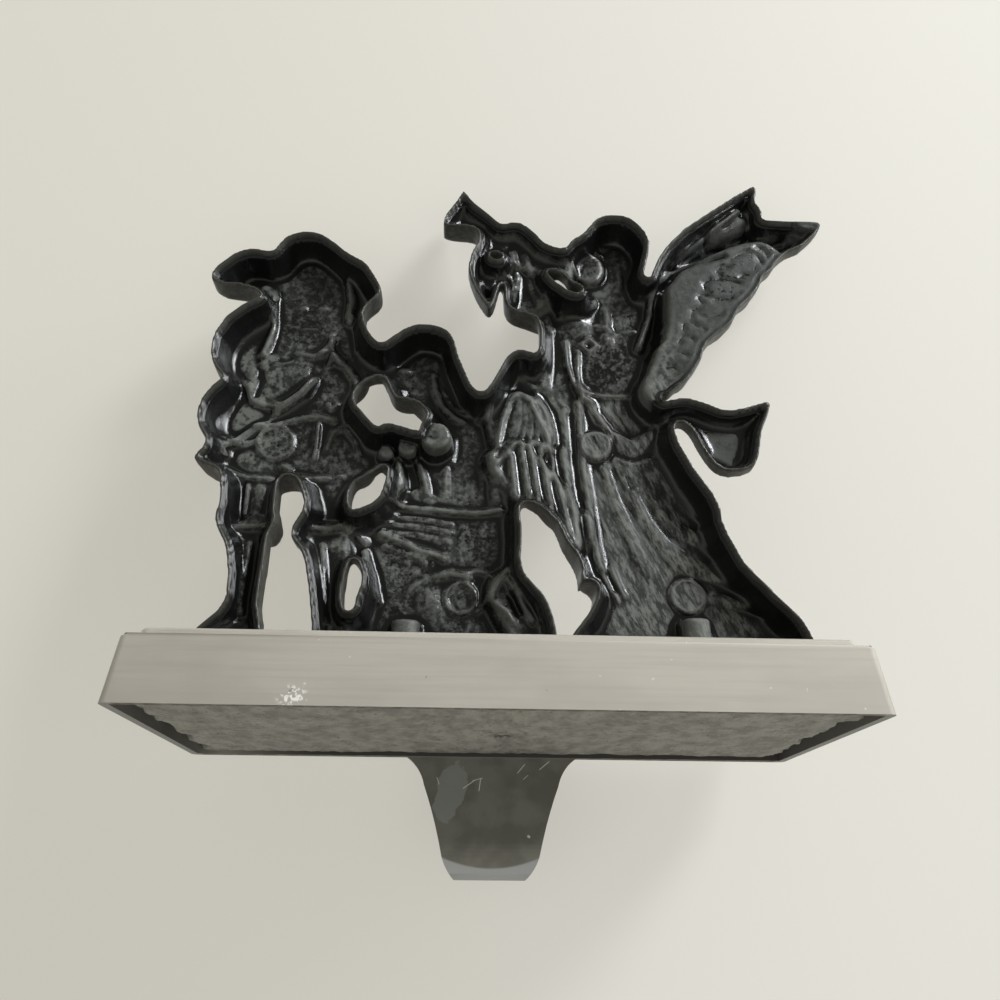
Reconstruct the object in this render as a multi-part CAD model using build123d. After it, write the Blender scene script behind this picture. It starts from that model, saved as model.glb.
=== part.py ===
from build123d import *
import math
import os

os.makedirs("parts", exist_ok=True)

# Mantel stocking holder: a weighted plinth with a hook under its front wall
# carries a hollow-backed relief of three figures.
# Frame: Z up, front is -Y, origin at the middle of the plinth's bottom rim.

# plinth, mm
BASE_WIDTH = 165.0
BASE_DEPTH = 76.0
BASE_HEIGHT = 15.0
BASE_DRAFT_ANGLE = 6.5
PLATFORM_STEP = 1.3
PLATFORM_INSET = 4.0
PLATFORM_BACK_INSET = 0.8
SHOULDER_ROUND = 1.0
CORNER_ROUND = 2.0
BASE_WALL = 2.0
FRONT_WALL = 3.0
CAVITY_HEIGHT = 12.0
FILL_RECESS = 2.5

# hook strap under the front wall, mm
HOOK_REACH = 31.5
HOOK_TOP_WIDTH = 47.0
HOOK_NECK_WIDTH = 36.8
HOOK_NECK_DROP = 7.6
HOOK_FLARE_BOW = 0.9
HOOK_LOW_WIDTH = 26.2
HOOK_TIP_WIDTH = 19.5
HOOK_BEND_RADIUS = 7.0
HOOK_TIP_RISE = 9.0

# figure group, mm
GROUP_WIDTH = 166.7
GROUP_HEIGHT = 134.9
RIM_FROM_BACK = 14.0
EDGE_DEPTH = 4.2
WALL = 1.9
BOSS_DIAMETER = 7.0
BOSS_HEIGHT = 8.5

# screws, mm
SCREW_DIAMETER = 3.5
SCREW_CLEARANCE = 4.2
SCREW_LENGTH = 9.0
HEAD_DIAMETER = 7.0
HEAD_HEIGHT = 1.8
SINK_DIAMETER = 8.0
SINK_DEPTH = 2.2
SCREW_SPACING = 68.0
SCREW_SHIFT = -12.0
SCREW_FROM_RIM = 5.5

PLATFORM_TOP = BASE_HEIGHT + PLATFORM_STEP
RIM_Y = BASE_DEPTH / 2 - RIM_FROM_BACK
DRAFT = BASE_HEIGHT * math.tan(math.radians(BASE_DRAFT_ANGLE))


# Plinth: a drafted block with a low platform, hollowed from below.
block = extrude(Rectangle(BASE_WIDTH, BASE_DEPTH), BASE_HEIGHT, taper=BASE_DRAFT_ANGLE)
upright = block.edges().filter_by(lambda e: abs((e % 0.5).Z) > 0.8)
block = fillet(upright, CORNER_ROUND)
block = fillet(block.faces().sort_by(Axis.Z)[-1].edges(), SHOULDER_ROUND)

step_width = BASE_WIDTH - 2 * DRAFT - 2 * PLATFORM_INSET
step_depth = BASE_DEPTH - 2 * DRAFT - PLATFORM_INSET - PLATFORM_BACK_INSET
step_middle = (PLATFORM_INSET - PLATFORM_BACK_INSET) / 2
step = Pos(0, step_middle, BASE_HEIGHT - 1) * extrude(
    RectangleRounded(step_width, step_depth, CORNER_ROUND), PLATFORM_STEP + 1)
step = chamfer(step.faces().sort_by(Axis.Z)[-1].edges(), PLATFORM_STEP / 2)

hollow_depth = BASE_DEPTH - BASE_WALL - FRONT_WALL
hollow_sketch = Pos(0, (FRONT_WALL - BASE_WALL) / 2) * Rectangle(
    BASE_WIDTH - 2 * BASE_WALL, hollow_depth)
hollow = extrude(hollow_sketch, CAVITY_HEIGHT, taper=BASE_DRAFT_ANGLE)

# Hook: a J section across the front wall, trimmed to a tapering strap.
strap_back = -BASE_DEPTH / 2 + FRONT_WALL
strap_front = -BASE_DEPTH / 2
bend_y = strap_front - HOOK_BEND_RADIUS
bend_z = FRONT_WALL + HOOK_BEND_RADIUS - HOOK_REACH
tip_z = bend_z + HOOK_TIP_RISE
outer_r = HOOK_BEND_RADIUS + FRONT_WALL
tip_mid = bend_y - HOOK_BEND_RADIUS - FRONT_WALL / 2
section = make_face(Curve() + [
    Line((strap_back, 0), (strap_back, bend_z)),
    ThreePointArc((strap_back, bend_z), (bend_y, -HOOK_REACH), (bend_y - outer_r, bend_z)),
    Line((bend_y - outer_r, bend_z), (bend_y - outer_r, tip_z)),
    ThreePointArc((bend_y - outer_r, tip_z), (tip_mid, tip_z + FRONT_WALL / 2),
                  (bend_y - HOOK_BEND_RADIUS, tip_z)),
    Line((bend_y - HOOK_BEND_RADIUS, tip_z), (bend_y - HOOK_BEND_RADIUS, bend_z)),
    ThreePointArc((bend_y - HOOK_BEND_RADIUS, bend_z), (bend_y, bend_z - HOOK_BEND_RADIUS),
                  (strap_front, bend_z)),
    Line((strap_front, bend_z), (strap_front, 0)),
    Line((strap_front, 0), (strap_back, 0)),
])
jay = extrude(Plane.YZ * section, HOOK_TOP_WIDTH / 2 + 1, both=True)

half_top = HOOK_TOP_WIDTH / 2
half_neck = HOOK_NECK_WIDTH / 2
half_low = HOOK_LOW_WIDTH / 2
half_tip = HOOK_TIP_WIDTH / 2
low_z = bend_z * 1.2
right_side = Curve() + [
    SagittaArc((half_top, 0), (half_neck, -HOOK_NECK_DROP), -HOOK_FLARE_BOW),
    Spline((half_neck, -HOOK_NECK_DROP),
           ((half_neck + half_low) / 2 - 0.4, (low_z - HOOK_NECK_DROP) / 2), (half_low, low_z)),
    Spline((half_low, low_z), (half_tip + 1.9, (low_z - HOOK_REACH) / 2 - 0.4),
           (half_tip, -HOOK_REACH)),
]
left_side = mirror(right_side, Plane.YZ)
strap_outline = make_face(right_side + left_side + [
    Line((half_tip, -HOOK_REACH), (-half_tip, -HOOK_REACH)),
    Line((half_top, 0), (-half_top, 0)),
])
front_view = Plane.XZ
strap_trim = extrude(front_view.offset(-strap_back - 1) * strap_outline, strap_back + 1 - bend_y)
tip_round = half_tip * 0.7
tip_height = HOOK_REACH + tip_z + FRONT_WALL / 2
tip_sketch = Pos(0, -HOOK_REACH + tip_height / 2) * Rectangle(HOOK_TIP_WIDTH, tip_height)
tip_top = tip_sketch.vertices().sort_by(Axis.Y)[-2:]
tip_sketch = fillet(tip_top, tip_round)
tip_trim = extrude(front_view.offset(-bend_y) * tip_sketch, outer_r + 1)
hook = (jay & strap_trim) + (jay & tip_trim)

base = block + step - hollow + hook

screw_x = [SCREW_SHIFT - SCREW_SPACING / 2, SCREW_SHIFT + SCREW_SPACING / 2]
screw_y = RIM_Y - SCREW_FROM_RIM
for x in screw_x:
    base -= Pos(x, screw_y, CAVITY_HEIGHT) * Cylinder(
        SINK_DIAMETER / 2, SINK_DEPTH, align=(Align.CENTER, Align.CENTER, Align.MIN))
    base -= Pos(x, screw_y, CAVITY_HEIGHT) * Cylinder(
        SCREW_CLEARANCE / 2, 10, align=(Align.CENTER, Align.CENTER, Align.MIN))
base.label = "base"

# Fill: the rough ballast poured into the plinth, short of its rim.
fill_cut = Pos(0, 0, FILL_RECESS) * Box(
    BASE_WIDTH, BASE_DEPTH, CAVITY_HEIGHT, align=(Align.CENTER, Align.CENTER, Align.MIN))
ballast = hollow & fill_cut
ballast.label = "ballast"

# Screws: up through the platform into the bosses at the figures' feet.
head_z = CAVITY_HEIGHT + SINK_DEPTH - HEAD_HEIGHT
screws = []
for x in screw_x:
    head = Pos(x, screw_y, head_z) * Cylinder(
        HEAD_DIAMETER / 2, HEAD_HEIGHT, align=(Align.CENTER, Align.CENTER, Align.MIN))
    shank = Pos(x, screw_y, head_z + HEAD_HEIGHT) * Cylinder(
        SCREW_DIAMETER / 2, SCREW_LENGTH, align=(Align.CENTER, Align.CENTER, Align.MIN))
    screws.append(head + shank)

# Figure group, drawn as seen from the front on a grid 166.7 wide and 134.9 tall.
SX = GROUP_WIDTH / 166.7
SZ = GROUP_HEIGHT / 134.9


def at(x, z):
    return (x * SX, PLATFORM_TOP + (z - 16.3) * SZ)


def outline(points, sharp=0.6):
    """Closed outline through the points, with each clear corner cut so that it runs smoothly."""
    pts = [Vector(*at(x, z)) for x, z in points]
    cut = []
    for i, p in enumerate(pts):
        back, ahead = pts[i - 1] - p, pts[(i + 1) % len(pts)] - p
        turn = back.get_angle(ahead)
        if turn > 160:
            cut.append(p)
            continue
        share = 0.26 if turn > 95 else 0.0
        cut.append(p + back * max(share, min(0.26, sharp / back.length)))
        cut.append(p + ahead * max(share, min(0.26, sharp / ahead.length)))
    return make_face(Polyline(*cut, close=True))


musician_leg = [(70.0, 16.3), (69.5, 18.8), (66.5, 21.8), (63.9, 24.2), (62.9, 27.5),
                (63.2, 33.0), (64.5, 39.8), (66.3, 42.6), (68.0, 46.0), (67.3, 50.3),
                (67.8, 56.8)]
musician_side = [(69.0, 59.2), (72.0, 60.2), (75.2, 61.6), (72.0, 66.2), (74.8, 70.5),
                 (75.8, 74.2), (74.9, 78.4), (72.8, 82.0), (70.4, 84.6), (73.4, 87.6),
                 (74.8, 92.5), (74.2, 97.5), (71.8, 102.4), (68.0, 106.2), (63.2, 109.3)]
hat = [(66.2, 111.3), (70.5, 112.1), (75.5, 112.3), (77.7, 114.6), (76.2, 117.8),
       (72.0, 122.2), (69.0, 123.9), (65.4, 123.8), (61.9, 123.1), (60.4, 126.0),
       (58.4, 128.8), (54.5, 130.1), (50.0, 130.0), (46.2, 127.3), (41.5, 123.3),
       (36.9, 120.7), (34.9, 117.6), (32.2, 112.8), (32.3, 110.6), (36.2, 106.6)]
kneeler_top = [(36.6, 103.6), (34.9, 99.2), (32.6, 96.0), (30.6, 95.9), (28.2, 98.2),
               (25.0, 100.8), (21.0, 102.1), (15.2, 100.9), (12.6, 97.8), (11.3, 92.4),
               (9.0, 86.6), (7.4, 83.0), (5.4, 82.0), (3.8, 83.2), (1.4, 88.0),
               (-0.6, 92.2), (-3.0, 94.7), (-5.2, 94.9), (-8.6, 93.8)]
sleeve = [(-9.4, 96.2), (-9.5, 102.6), (-8.4, 105.1), (-2.2, 106.5), (-0.3, 109.0),
          (0.0, 113.5), (-0.5, 118.3), (0.2, 118.3), (1.0, 114.6), (2.4, 109.0),
          (3.7, 106.4), (5.2, 109.0), (7.2, 112.2), (9.0, 116.6), (9.7, 120.4),
          (8.7, 125.2), (6.8, 129.2), (6.9, 132.2)]
trumpet = [(9.2, 134.0), (15.9, 133.8), (15.0, 137.2), (13.3, 141.6), (11.4, 146.2),
           (8.0, 141.7), (4.1, 138.1), (1.6, 135.2), (-0.2, 134.8), (-2.6, 135.9),
           (-5.6, 135.0), (-9.0, 131.6), (-11.4, 128.4), (-16.8, 127.0)]
angel_hair = [(-18.2, 130.0), (-21.6, 132.4), (-23.6, 135.2), (-26.0, 138.4), (-31.0, 139.6),
              (-35.8, 138.2), (-39.2, 133.6), (-40.4, 129.6), (-38.6, 122.6), (-37.9, 119.2),
              (-39.6, 118.5)]
wing_top = [(-40.6, 121.4), (-42.2, 125.3), (-44.6, 129.2), (-50.0, 135.4), (-57.0, 141.0),
            (-65.0, 147.2), (-70.8, 151.2), (-71.9, 149.8), (-70.5, 145.6), (-72.6, 142.6),
            (-72.0, 139.4), (-79.0, 139.0), (-87.4, 139.4), (-89.0, 137.8), (-85.6, 133.6),
            (-82.0, 130.2)]
wing_feathers = [(-78.0, 128.4), (-75.2, 125.6), (-73.0, 122.2), (-70.0, 119.6), (-69.6, 117.4),
                 (-66.4, 113.0), (-62.6, 109.4), (-60.6, 104.6), (-56.4, 101.4), (-52.8, 97.8),
                 (-51.8, 94.0), (-49.4, 90.0), (-47.0, 86.6), (-44.4, 84.6), (-42.2, 82.3),
                 (-40.4, 83.0)]
ribbon = [(-40.2, 80.6), (-46.4, 82.1), (-51.0, 80.8), (-56.8, 78.3), (-62.0, 79.6),
          (-68.0, 81.6), (-68.3, 79.6), (-65.4, 73.0), (-63.4, 63.4), (-59.8, 61.8),
          (-55.6, 61.2), (-52.2, 63.2), (-49.6, 68.0), (-47.2, 73.6), (-44.6, 75.2),
          (-43.1, 73.6)]
gown = [(-44.3, 68.6), (-47.6, 61.8), (-53.0, 53.4), (-53.2, 47.4), (-57.8, 37.6),
        (-64.0, 30.6), (-69.8, 24.3), (-71.6, 20.6), (-73.0, 16.3), (-14.5, 16.3),
        (-16.4, 19.8), (-20.4, 25.2), (-22.5, 29.6), (-22.2, 32.0), (-20.0, 32.8)]
low_wing = [(-18.4, 31.8), (-18.9, 37.2), (-15.2, 42.2), (-13.2, 46.8), (-9.6, 50.8),
            (-5.6, 52.4), (-4.3, 50.8), (-4.9, 45.0), (-4.5, 35.4), (-8.0, 31.0),
            (-10.4, 28.6), (-12.2, 23.2), (-13.4, 16.3)]
inner_leg = [(42.8, 16.3), (43.0, 21.0), (44.4, 29.5), (46.4, 38.4), (49.2, 41.2),
             (50.1, 43.6), (47.0, 49.8), (48.2, 53.6), (49.8, 57.2), (52.0, 57.6),
             (54.0, 56.6), (54.0, 50.2), (53.2, 45.8), (55.0, 42.2), (55.1, 34.0),
             (55.5, 26.0), (54.2, 20.4), (53.6, 16.3)]
silhouette = outline(
    musician_leg + musician_side + hat + kneeler_top + sleeve + trumpet + angel_hair
    + wing_top + wing_feathers + ribbon + gown + low_wing + inner_leg)
windows = [
    [(31.4, 85.8), (34.6, 84.4), (36.8, 82.0), (37.5, 78.6), (33.8, 74.2), (31.2, 71.2),
     (28.8, 72.9), (25.0, 71.8), (21.0, 70.6), (19.2, 71.2), (18.4, 74.6), (20.4, 77.8),
     (23.5, 79.2), (26.6, 79.0), (28.2, 80.8), (29.8, 85.0)],
    [(36.6, 49.6), (36.4, 55.6), (33.4, 57.4), (28.6, 61.2), (27.9, 59.8), (29.2, 53.0),
     (31.2, 51.0), (35.0, 49.2)],
    [(36.4, 25.2), (36.5, 30.0), (35.6, 36.0), (34.6, 36.9), (33.2, 35.6), (32.2, 31.6),
     (33.4, 27.6), (33.6, 24.9), (35.0, 24.1)],
    [(4.2, 125.2), (1.5, 125.1), (0.0, 124.4), (0.8, 123.3), (2.2, 122.9), (3.5, 123.7)],
    [(-11.6, 120.2), (-14.0, 119.8), (-16.2, 118.6), (-17.5, 116.2), (-20.5, 115.2),
     (-21.3, 114.2), (-19.8, 112.9), (-17.2, 113.8), (-14.2, 116.2), (-12.0, 118.6)],
]
for points in windows:
    silhouette -= outline(points)


def rod(x1, z1, top1, r1, x2, z2, top2, r2, inset=0.0):
    """Faceted form between two points, each with its height over the back and its radius."""
    (ax, az), (bx, bz) = at(x1, z1), at(x2, z2)
    start = Vector(ax, RIM_Y - top1 + r1, az)
    end = Vector(bx, RIM_Y - top2 + r2, bz)
    r1, r2 = r1 - inset, r2 - inset
    along = (end - start).normalized()
    side = along.cross(Vector(0, 1, 0)).normalized()
    front = along.cross(side)
    sides = 8 if max(r1, r2) > 7.5 else 6
    rings = [(start - along * r1 * 0.8, r1 * 0.62), (start, r1),
             (end, r2), (end + along * r2 * 0.8, r2 * 0.62)]
    loops = []
    for middle, radius in rings:
        corner = radius / math.cos(math.pi / sides)
        turns = [math.tau * (i + 0.5) / sides for i in range(sides)]
        loops.append([middle + side * (corner * math.sin(t)) + front * (corner * math.cos(t))
                      for t in turns])
    faces = [Face(Wire.make_polygon(loops[0])), Face(Wire.make_polygon(loops[-1]))]
    for low, high in zip(loops, loops[1:]):
        for i in range(sides):
            j = (i + 1) % sides
            faces.append(Face(Wire.make_polygon([low[i], low[j], high[j], high[i]])))
    return Solid(Shell(faces))


# Each form: x, z, height over the back plane and radius at both ends.
musician = [
    (51, 119, 15, 16, 46, 116, 14, 15), (68, 116, 8.5, 22, 60, 118, 9, 24),
    (40, 114, 9, 22, 46, 116, 9, 24.5),
    (52, 114, 16.5, 8.5, 51, 104, 15.5, 7),
    (64, 99, 11, 9, 42, 99, 11, 9), (53, 97, 13, 11, 54, 78, 13, 12),
    (67.5, 103, 11.5, 7, 70, 90, 12.5, 6.5), (69, 89, 12.3, 5.5, 57, 95, 13.2, 4.5),
    (69, 77, 11.5, 8, 67, 70, 11, 7),
    (40, 101, 11.5, 6.5, 40.2, 87, 12, 6), (40, 86, 12, 4.8, 49, 93, 13.6, 4.2),
    (58, 89, 16.5, 9.5, 55, 84, 16, 9),
]
tunic = [(60, 78, 11, 13, 62, 62, 11.5, 14), (47, 78, 11, 12, 44, 62, 11.5, 13)]
legs = [
    (61, 60, 12, 7.4, 60.6, 49, 11.6, 7), (59.7, 44, 8.9, 5.4, 59.1, 24, 8.2, 4.5),
    (59, 21, 8.8, 4.8, 66, 17.4, 6.8, 3.7),
    (43, 60, 12, 7.4, 43.2, 49, 11.6, 7), (42.3, 43.6, 8.9, 5.5, 39.4, 21.4, 8.2, 4.7),
]
kneeler = [
    (21, 95, 15, 12, 17, 92, 14, 11), (25, 91, 13, 7, 24, 84, 11, 5.5),
    (13, 92, 12.5, 7, 7, 81, 9.6, 6),
    (15, 80, 12, 9, 12, 60, 13, 11), (11, 68, 12, 5, 26, 71, 10.2, 4.8),
    (24, 66, 10.6, 5.5, 24.2, 56, 9.4, 5), (17, 66, 12.5, 5, 17.2, 55, 12, 5.5),
    (31, 48, 12.5, 7.5, 10, 46, 14, 10), (28, 44, 11.5, 7, 27, 24, 10.5, 6),
    (19, 26, 13.5, 9, 6, 30, 12.5, 8.5), (3, 56, 11, 7, 0, 36, 11, 7.2),
    (-2, 32, 7.6, 4.3, -8, 20, 7, 3.8), (24, 22, 11, 6, 8, 20, 11, 6.2),
]
folded_wing = [
    (1, 84, 9.4, 5.5, -4, 91, 9.8, 5), (-4.3, 90.6, 9.5, 4.7, -10, 82, 9.2, 5.2),
    (-4, 84, 10, 6.5, -5, 73, 10, 7.5), (-5, 71, 8, 8, -14, 48, 7.6, 7),
]
horn_and_arms = [
    (13.5, 140, 9.5, 7.5, 2, 131.5, 6.6, 3.7), (1.7, 131.2, 7, 3.9, -17, 122.5, 6.6, 3.5),
    (-2.5, 131, 9.4, 4.6, -5.5, 127, 9.2, 4.2), (6, 125, 8.5, 4.6, 4, 110, 6.2, 3.6),
    (-4, 128, 8, 4.1, -5, 112, 10, 5.5), (-5.3, 111, 10.4, 5.6, -16, 108, 11.6, 6),
    (-9.5, 124, 7.2, 3.6, -11.5, 115, 8.4, 4.2), (-11.9, 114.7, 8.7, 4.5, -20, 109.5, 10, 4.9),
]
angel = [
    (-24, 124, 14, 8, -25, 118.5, 12.5, 6.5), (-29, 129, 14, 10.5, -32, 127, 13.5, 9.5),
    (-33, 122, 11, 6, -36, 112, 9, 4.6), (-26, 116, 11.8, 6, -26.2, 109, 12, 6.2),
    (-20, 105, 12.5, 8, -23, 86, 12.5, 8.2), (-30, 105, 13, 8.5, -30.2, 86, 13, 8.7),
    (-22, 80, 13, 8, -34, 78, 12.5, 7.5), (-36, 108, 9.6, 5, -37, 86, 9.3, 5.1),
]
skirt = [
    (-21, 76, 11, 10, -30, 18, 12, 16), (-28, 76, 11.2, 10.4, -42, 18, 12.4, 16.4),
    (-34, 74, 11, 10.2, -54, 18, 11.5, 17),
]
flying_ribbon = [
    (-41, 78.5, 6.8, 3.8, -48, 79, 6.4, 3.8), (-47.7, 78.7, 6.2, 4, -57, 74, 6.5, 5.1),
    (-57, 73, 6.8, 6.2, -63, 76, 6, 4.2), (-56, 68, 6.2, 5.2, -61, 66, 6, 4),
]
raised_wing = [
    (-40, 112, 8.5, 4.5, -44, 123, 8.4, 4.4), (-43.7, 122.6, 8.2, 4.2, -55, 136, 7.5, 4),
    (-54.6, 135.7, 7.2, 3.8, -68, 147, 6, 3.3), (-47, 126, 7.5, 4.2, -69, 142, 6.5, 3.7),
    (-48, 123, 7.4, 4.1, -79, 136.5, 6.3, 3.6),
]
hollow_forms = [musician, tunic, legs, kneeler, folded_wing, horn_and_arms, angel,
                skirt, flying_ribbon, raised_wing]

# Raised only on the front: folds, cuffs, sash and the single feathers.
folds = [
    (64, 79, 12, 5, 68, 61, 12, 6), (58.5, 79, 12.8, 5, 59.5, 60, 13, 6),
    (53, 79, 11.4, 5, 51.5, 60, 11.2, 5.5), (47, 79, 12.8, 5, 44, 60, 13.2, 6),
    (42, 79, 11.5, 5, 36, 62, 10.8, 5),
    (-15.5, 80, 11.4, 4.5, -20.5, 38, 12, 4.6), (-19, 78, 12.8, 4.5, -26, 20, 13.5, 5),
    (-23.5, 74, 12.7, 4.5, -33.5, 20, 13.6, 5.5), (-28.5, 72, 13, 4.5, -42, 20, 14.4, 6),
    (-33.5, 72, 13, 4.5, -50.5, 20, 13.3, 6), (-38, 72, 12, 4.5, -58, 22, 12.6, 5.5),
    (-41.5, 68, 10, 4.2, -65, 22, 8.6, 5),
]
ridges = [
    (65, 46.5, 12.5, 4.2, 56.2, 46.4, 12.5, 4.3), (47, 45.5, 12.5, 4.2, 38.5, 46.5, 12.5, 4.3),
    (-21, 81, 14.5, 2.8, -27, 74, 15, 2.9), (-26.8, 74.3, 14.8, 3.1, -33, 72, 15.2, 3),
    (-33.2, 72.3, 14.9, 3.2, -40, 78, 13, 2.8),
    (-2, 69, 9.5, 2.9, -3.5, 57, 8.5, 2.7), (-5.2, 70, 9.6, 2.9, -8, 55, 8.5, 2.7),
    (-8.6, 70, 9.7, 2.9, -12, 50, 8.5, 2.7), (-12, 70, 9.6, 2.9, -15.3, 44, 8.5, 2.7),
    (-15.2, 72, 9.5, 2.9, -18, 37, 8.5, 2.7),
    (-48, 119.5, 7.4, 3.6, -72, 126, 6, 3.2), (-48, 115.5, 7.4, 3.6, -68.5, 119.5, 6, 3.2),
    (-47.5, 111.5, 7.4, 3.6, -64.5, 113.5, 6, 3.2), (-46.5, 107.5, 7.4, 3.6, -60, 108, 6, 3.2),
    (-45.5, 103.5, 7.4, 3.6, -56.5, 103, 6, 3.2), (-44, 99.5, 7.4, 3.6, -52, 98, 6, 3.2),
    (-42.5, 95.5, 7.4, 3.4, -48.5, 92.5, 6, 3.1), (-41, 91, 7.4, 3.4, -45, 88, 6, 3.1),
]

back_plane = Plane(origin=(0, RIM_Y, 0), x_dir=(1, 0, 0), z_dir=(0, -1, 0))
inside = offset(silhouette, amount=-WALL, kind=Kind.INTERSECTION)
reach = 30.0


def relief(sketch, depth, groups, inset=0.0):
    """Forms over a plate of one depth, trimmed to an outline."""
    body = extrude(back_plane.offset(-reach) * Pos(0, GROUP_HEIGHT / 2)
                   * Rectangle(2 * GROUP_WIDTH, 2 * GROUP_HEIGHT), reach + depth)
    for group in groups:
        rods = [rod(*form, inset=inset) for form in group]
        body = body.fuse(rods[0].fuse(*rods[1:]))
    return body & extrude(back_plane * sketch, reach)


outer = relief(silhouette, EDGE_DEPTH, hollow_forms + [folds, ridges])
inner = relief(inside, EDGE_DEPTH - WALL, hollow_forms, inset=WALL)

# Ejector pads stand on the hollow's floor: x, z, radius, depth of their face.
pads = [(57, 71, 4.6, 9.6), (17, 74, 4.0, 8.8), (-24.5, 73, 3.9, 9.6), (9, 30, 4.2, 9.2),
        (-45, 31.5, 3.9, 9.6), (-25, 124, 4.6, 10.6)]
for x, z, radius, depth in pads:
    px, pz = at(x, z)
    inner -= back_plane.offset(depth) * Pos(px, pz) * extrude(Circle(radius), reach)

figures = outer - inner

# Screw bosses in the feet, tied to the floor of the hollow.
for x in screw_x:
    boss = Pos(x, screw_y, PLATFORM_TOP) * Cylinder(
        BOSS_DIAMETER / 2, BOSS_HEIGHT, align=(Align.CENTER, Align.CENTER, Align.MIN))
    web = Pos(x, screw_y, PLATFORM_TOP) * Box(
        BOSS_DIAMETER, reach, BOSS_HEIGHT, align=(Align.CENTER, Align.MAX, Align.MIN))
    figures += (boss + web) & outer
    figures -= Pos(x, screw_y, head_z + HEAD_HEIGHT) * Cylinder(
        SCREW_DIAMETER / 2, SCREW_LENGTH, align=(Align.CENTER, Align.CENTER, Align.MIN))
figures = figures.solids().sort_by(SortBy.VOLUME)[-1]
figures.label = "figure_group"

export_step(base, "parts/base.step")
export_step(ballast, "parts/ballast.step")
export_step(figures, "parts/figure_group.step")
export_step(Compound(label="figure_screws", children=screws), "parts/figure_screws.step")
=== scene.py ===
import math

import bmesh
import bpy
import numpy as np
from mathutils import Matrix, Vector, noise as Noise
from mathutils.bvhtree import BVHTree
from mathutils.kdtree import KDTree


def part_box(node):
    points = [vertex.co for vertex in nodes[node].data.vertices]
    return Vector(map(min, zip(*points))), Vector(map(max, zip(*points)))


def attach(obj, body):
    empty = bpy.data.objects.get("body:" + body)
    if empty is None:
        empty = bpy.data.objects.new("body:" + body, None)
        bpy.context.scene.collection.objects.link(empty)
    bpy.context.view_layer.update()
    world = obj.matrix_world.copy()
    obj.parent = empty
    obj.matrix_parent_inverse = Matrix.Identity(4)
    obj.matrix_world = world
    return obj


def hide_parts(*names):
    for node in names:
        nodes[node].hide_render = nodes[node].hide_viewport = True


MM = 0.001
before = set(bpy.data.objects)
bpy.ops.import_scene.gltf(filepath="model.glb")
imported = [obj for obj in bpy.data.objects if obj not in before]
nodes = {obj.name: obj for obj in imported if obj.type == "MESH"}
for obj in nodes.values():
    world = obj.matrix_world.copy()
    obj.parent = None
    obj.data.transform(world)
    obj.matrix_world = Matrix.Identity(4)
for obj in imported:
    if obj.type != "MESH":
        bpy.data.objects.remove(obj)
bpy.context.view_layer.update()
scene = bpy.context.scene


# Plinth with its hook: one zinc casting, brushed on the outside and plated.
# The hook is a strap that drops from the front wall and turns up at its tip.
def merged_copy(node):
    """A bmesh of a CAD node, with its loose triangles joined."""
    bm = bmesh.new()
    bm.from_mesh(nodes[node].data)
    bmesh.ops.remove_doubles(bm, verts=bm.verts[:], dist=2e-6)
    return bm


def link_piece(bm, name):
    """A new object whose mesh is the finished bmesh."""
    mesh = bpy.data.meshes.new(name)
    bm.to_mesh(mesh)
    bm.free()
    piece = bpy.data.objects.new(name, mesh)
    scene.collection.objects.link(piece)
    return piece


def shade_smooth(bm):
    """Smooth shading on every face."""
    for face in bm.faces:
        face.smooth = True


def add_node(tree, kind, **values):
    """A shader node, with its plain properties and socket values set by name."""
    node = tree.nodes.new(kind)
    for key, value in values.items():
        if key in node.inputs:
            node.inputs[key].default_value = value
        else:
            setattr(node, key, value)
    return node


def new_material(name):
    """A material with only its Principled shader, its node tree and its coordinates."""
    material = bpy.data.materials.new(name)
    material.use_nodes = True
    tree = material.node_tree
    shader = tree.nodes["Principled BSDF"]
    place = add_node(tree, "ShaderNodeTexCoord")
    return material, tree, shader, place.outputs["Object"]


def feed(tree, socket, value):
    """Sets a plain number or colour on a socket, or links another socket to it."""
    if isinstance(value, (int, float)):
        socket.default_value = value
    elif isinstance(value, tuple):
        socket.default_value = (*value, 1.0)
    else:
        tree.links.new(value, socket)


def math_node(tree, operation, first, second=None, clamp=False):
    """The result of a Math node on sockets or plain numbers."""
    node = add_node(tree, "ShaderNodeMath", operation=operation, use_clamp=clamp)
    feed(tree, node.inputs[0], first)
    if second is not None:
        feed(tree, node.inputs[1], second)
    return node.outputs[0]


def product(tree, first, *others):
    """The product of sockets and plain numbers."""
    for value in others:
        first = math_node(tree, "MULTIPLY", first, value)
    return first


def mix_colours(tree, factor, first, second):
    """A colour mix of sockets or plain colours."""
    node = add_node(tree, "ShaderNodeMix", data_type="RGBA")
    feed(tree, node.inputs[0], factor)
    feed(tree, node.inputs[6], first)
    feed(tree, node.inputs[7], second)
    return node.outputs[2]


def ramp(tree, value, low, high, to_low=0.0, to_high=1.0):
    """A smooth step of a socket between two values."""
    node = add_node(tree, "ShaderNodeMapRange", interpolation_type="SMOOTHSTEP")
    tree.links.new(value, node.inputs["Value"])
    node.inputs["From Min"].default_value = low
    node.inputs["From Max"].default_value = high
    node.inputs["To Min"].default_value = to_low
    node.inputs["To Max"].default_value = to_high
    return node.outputs["Result"]


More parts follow.
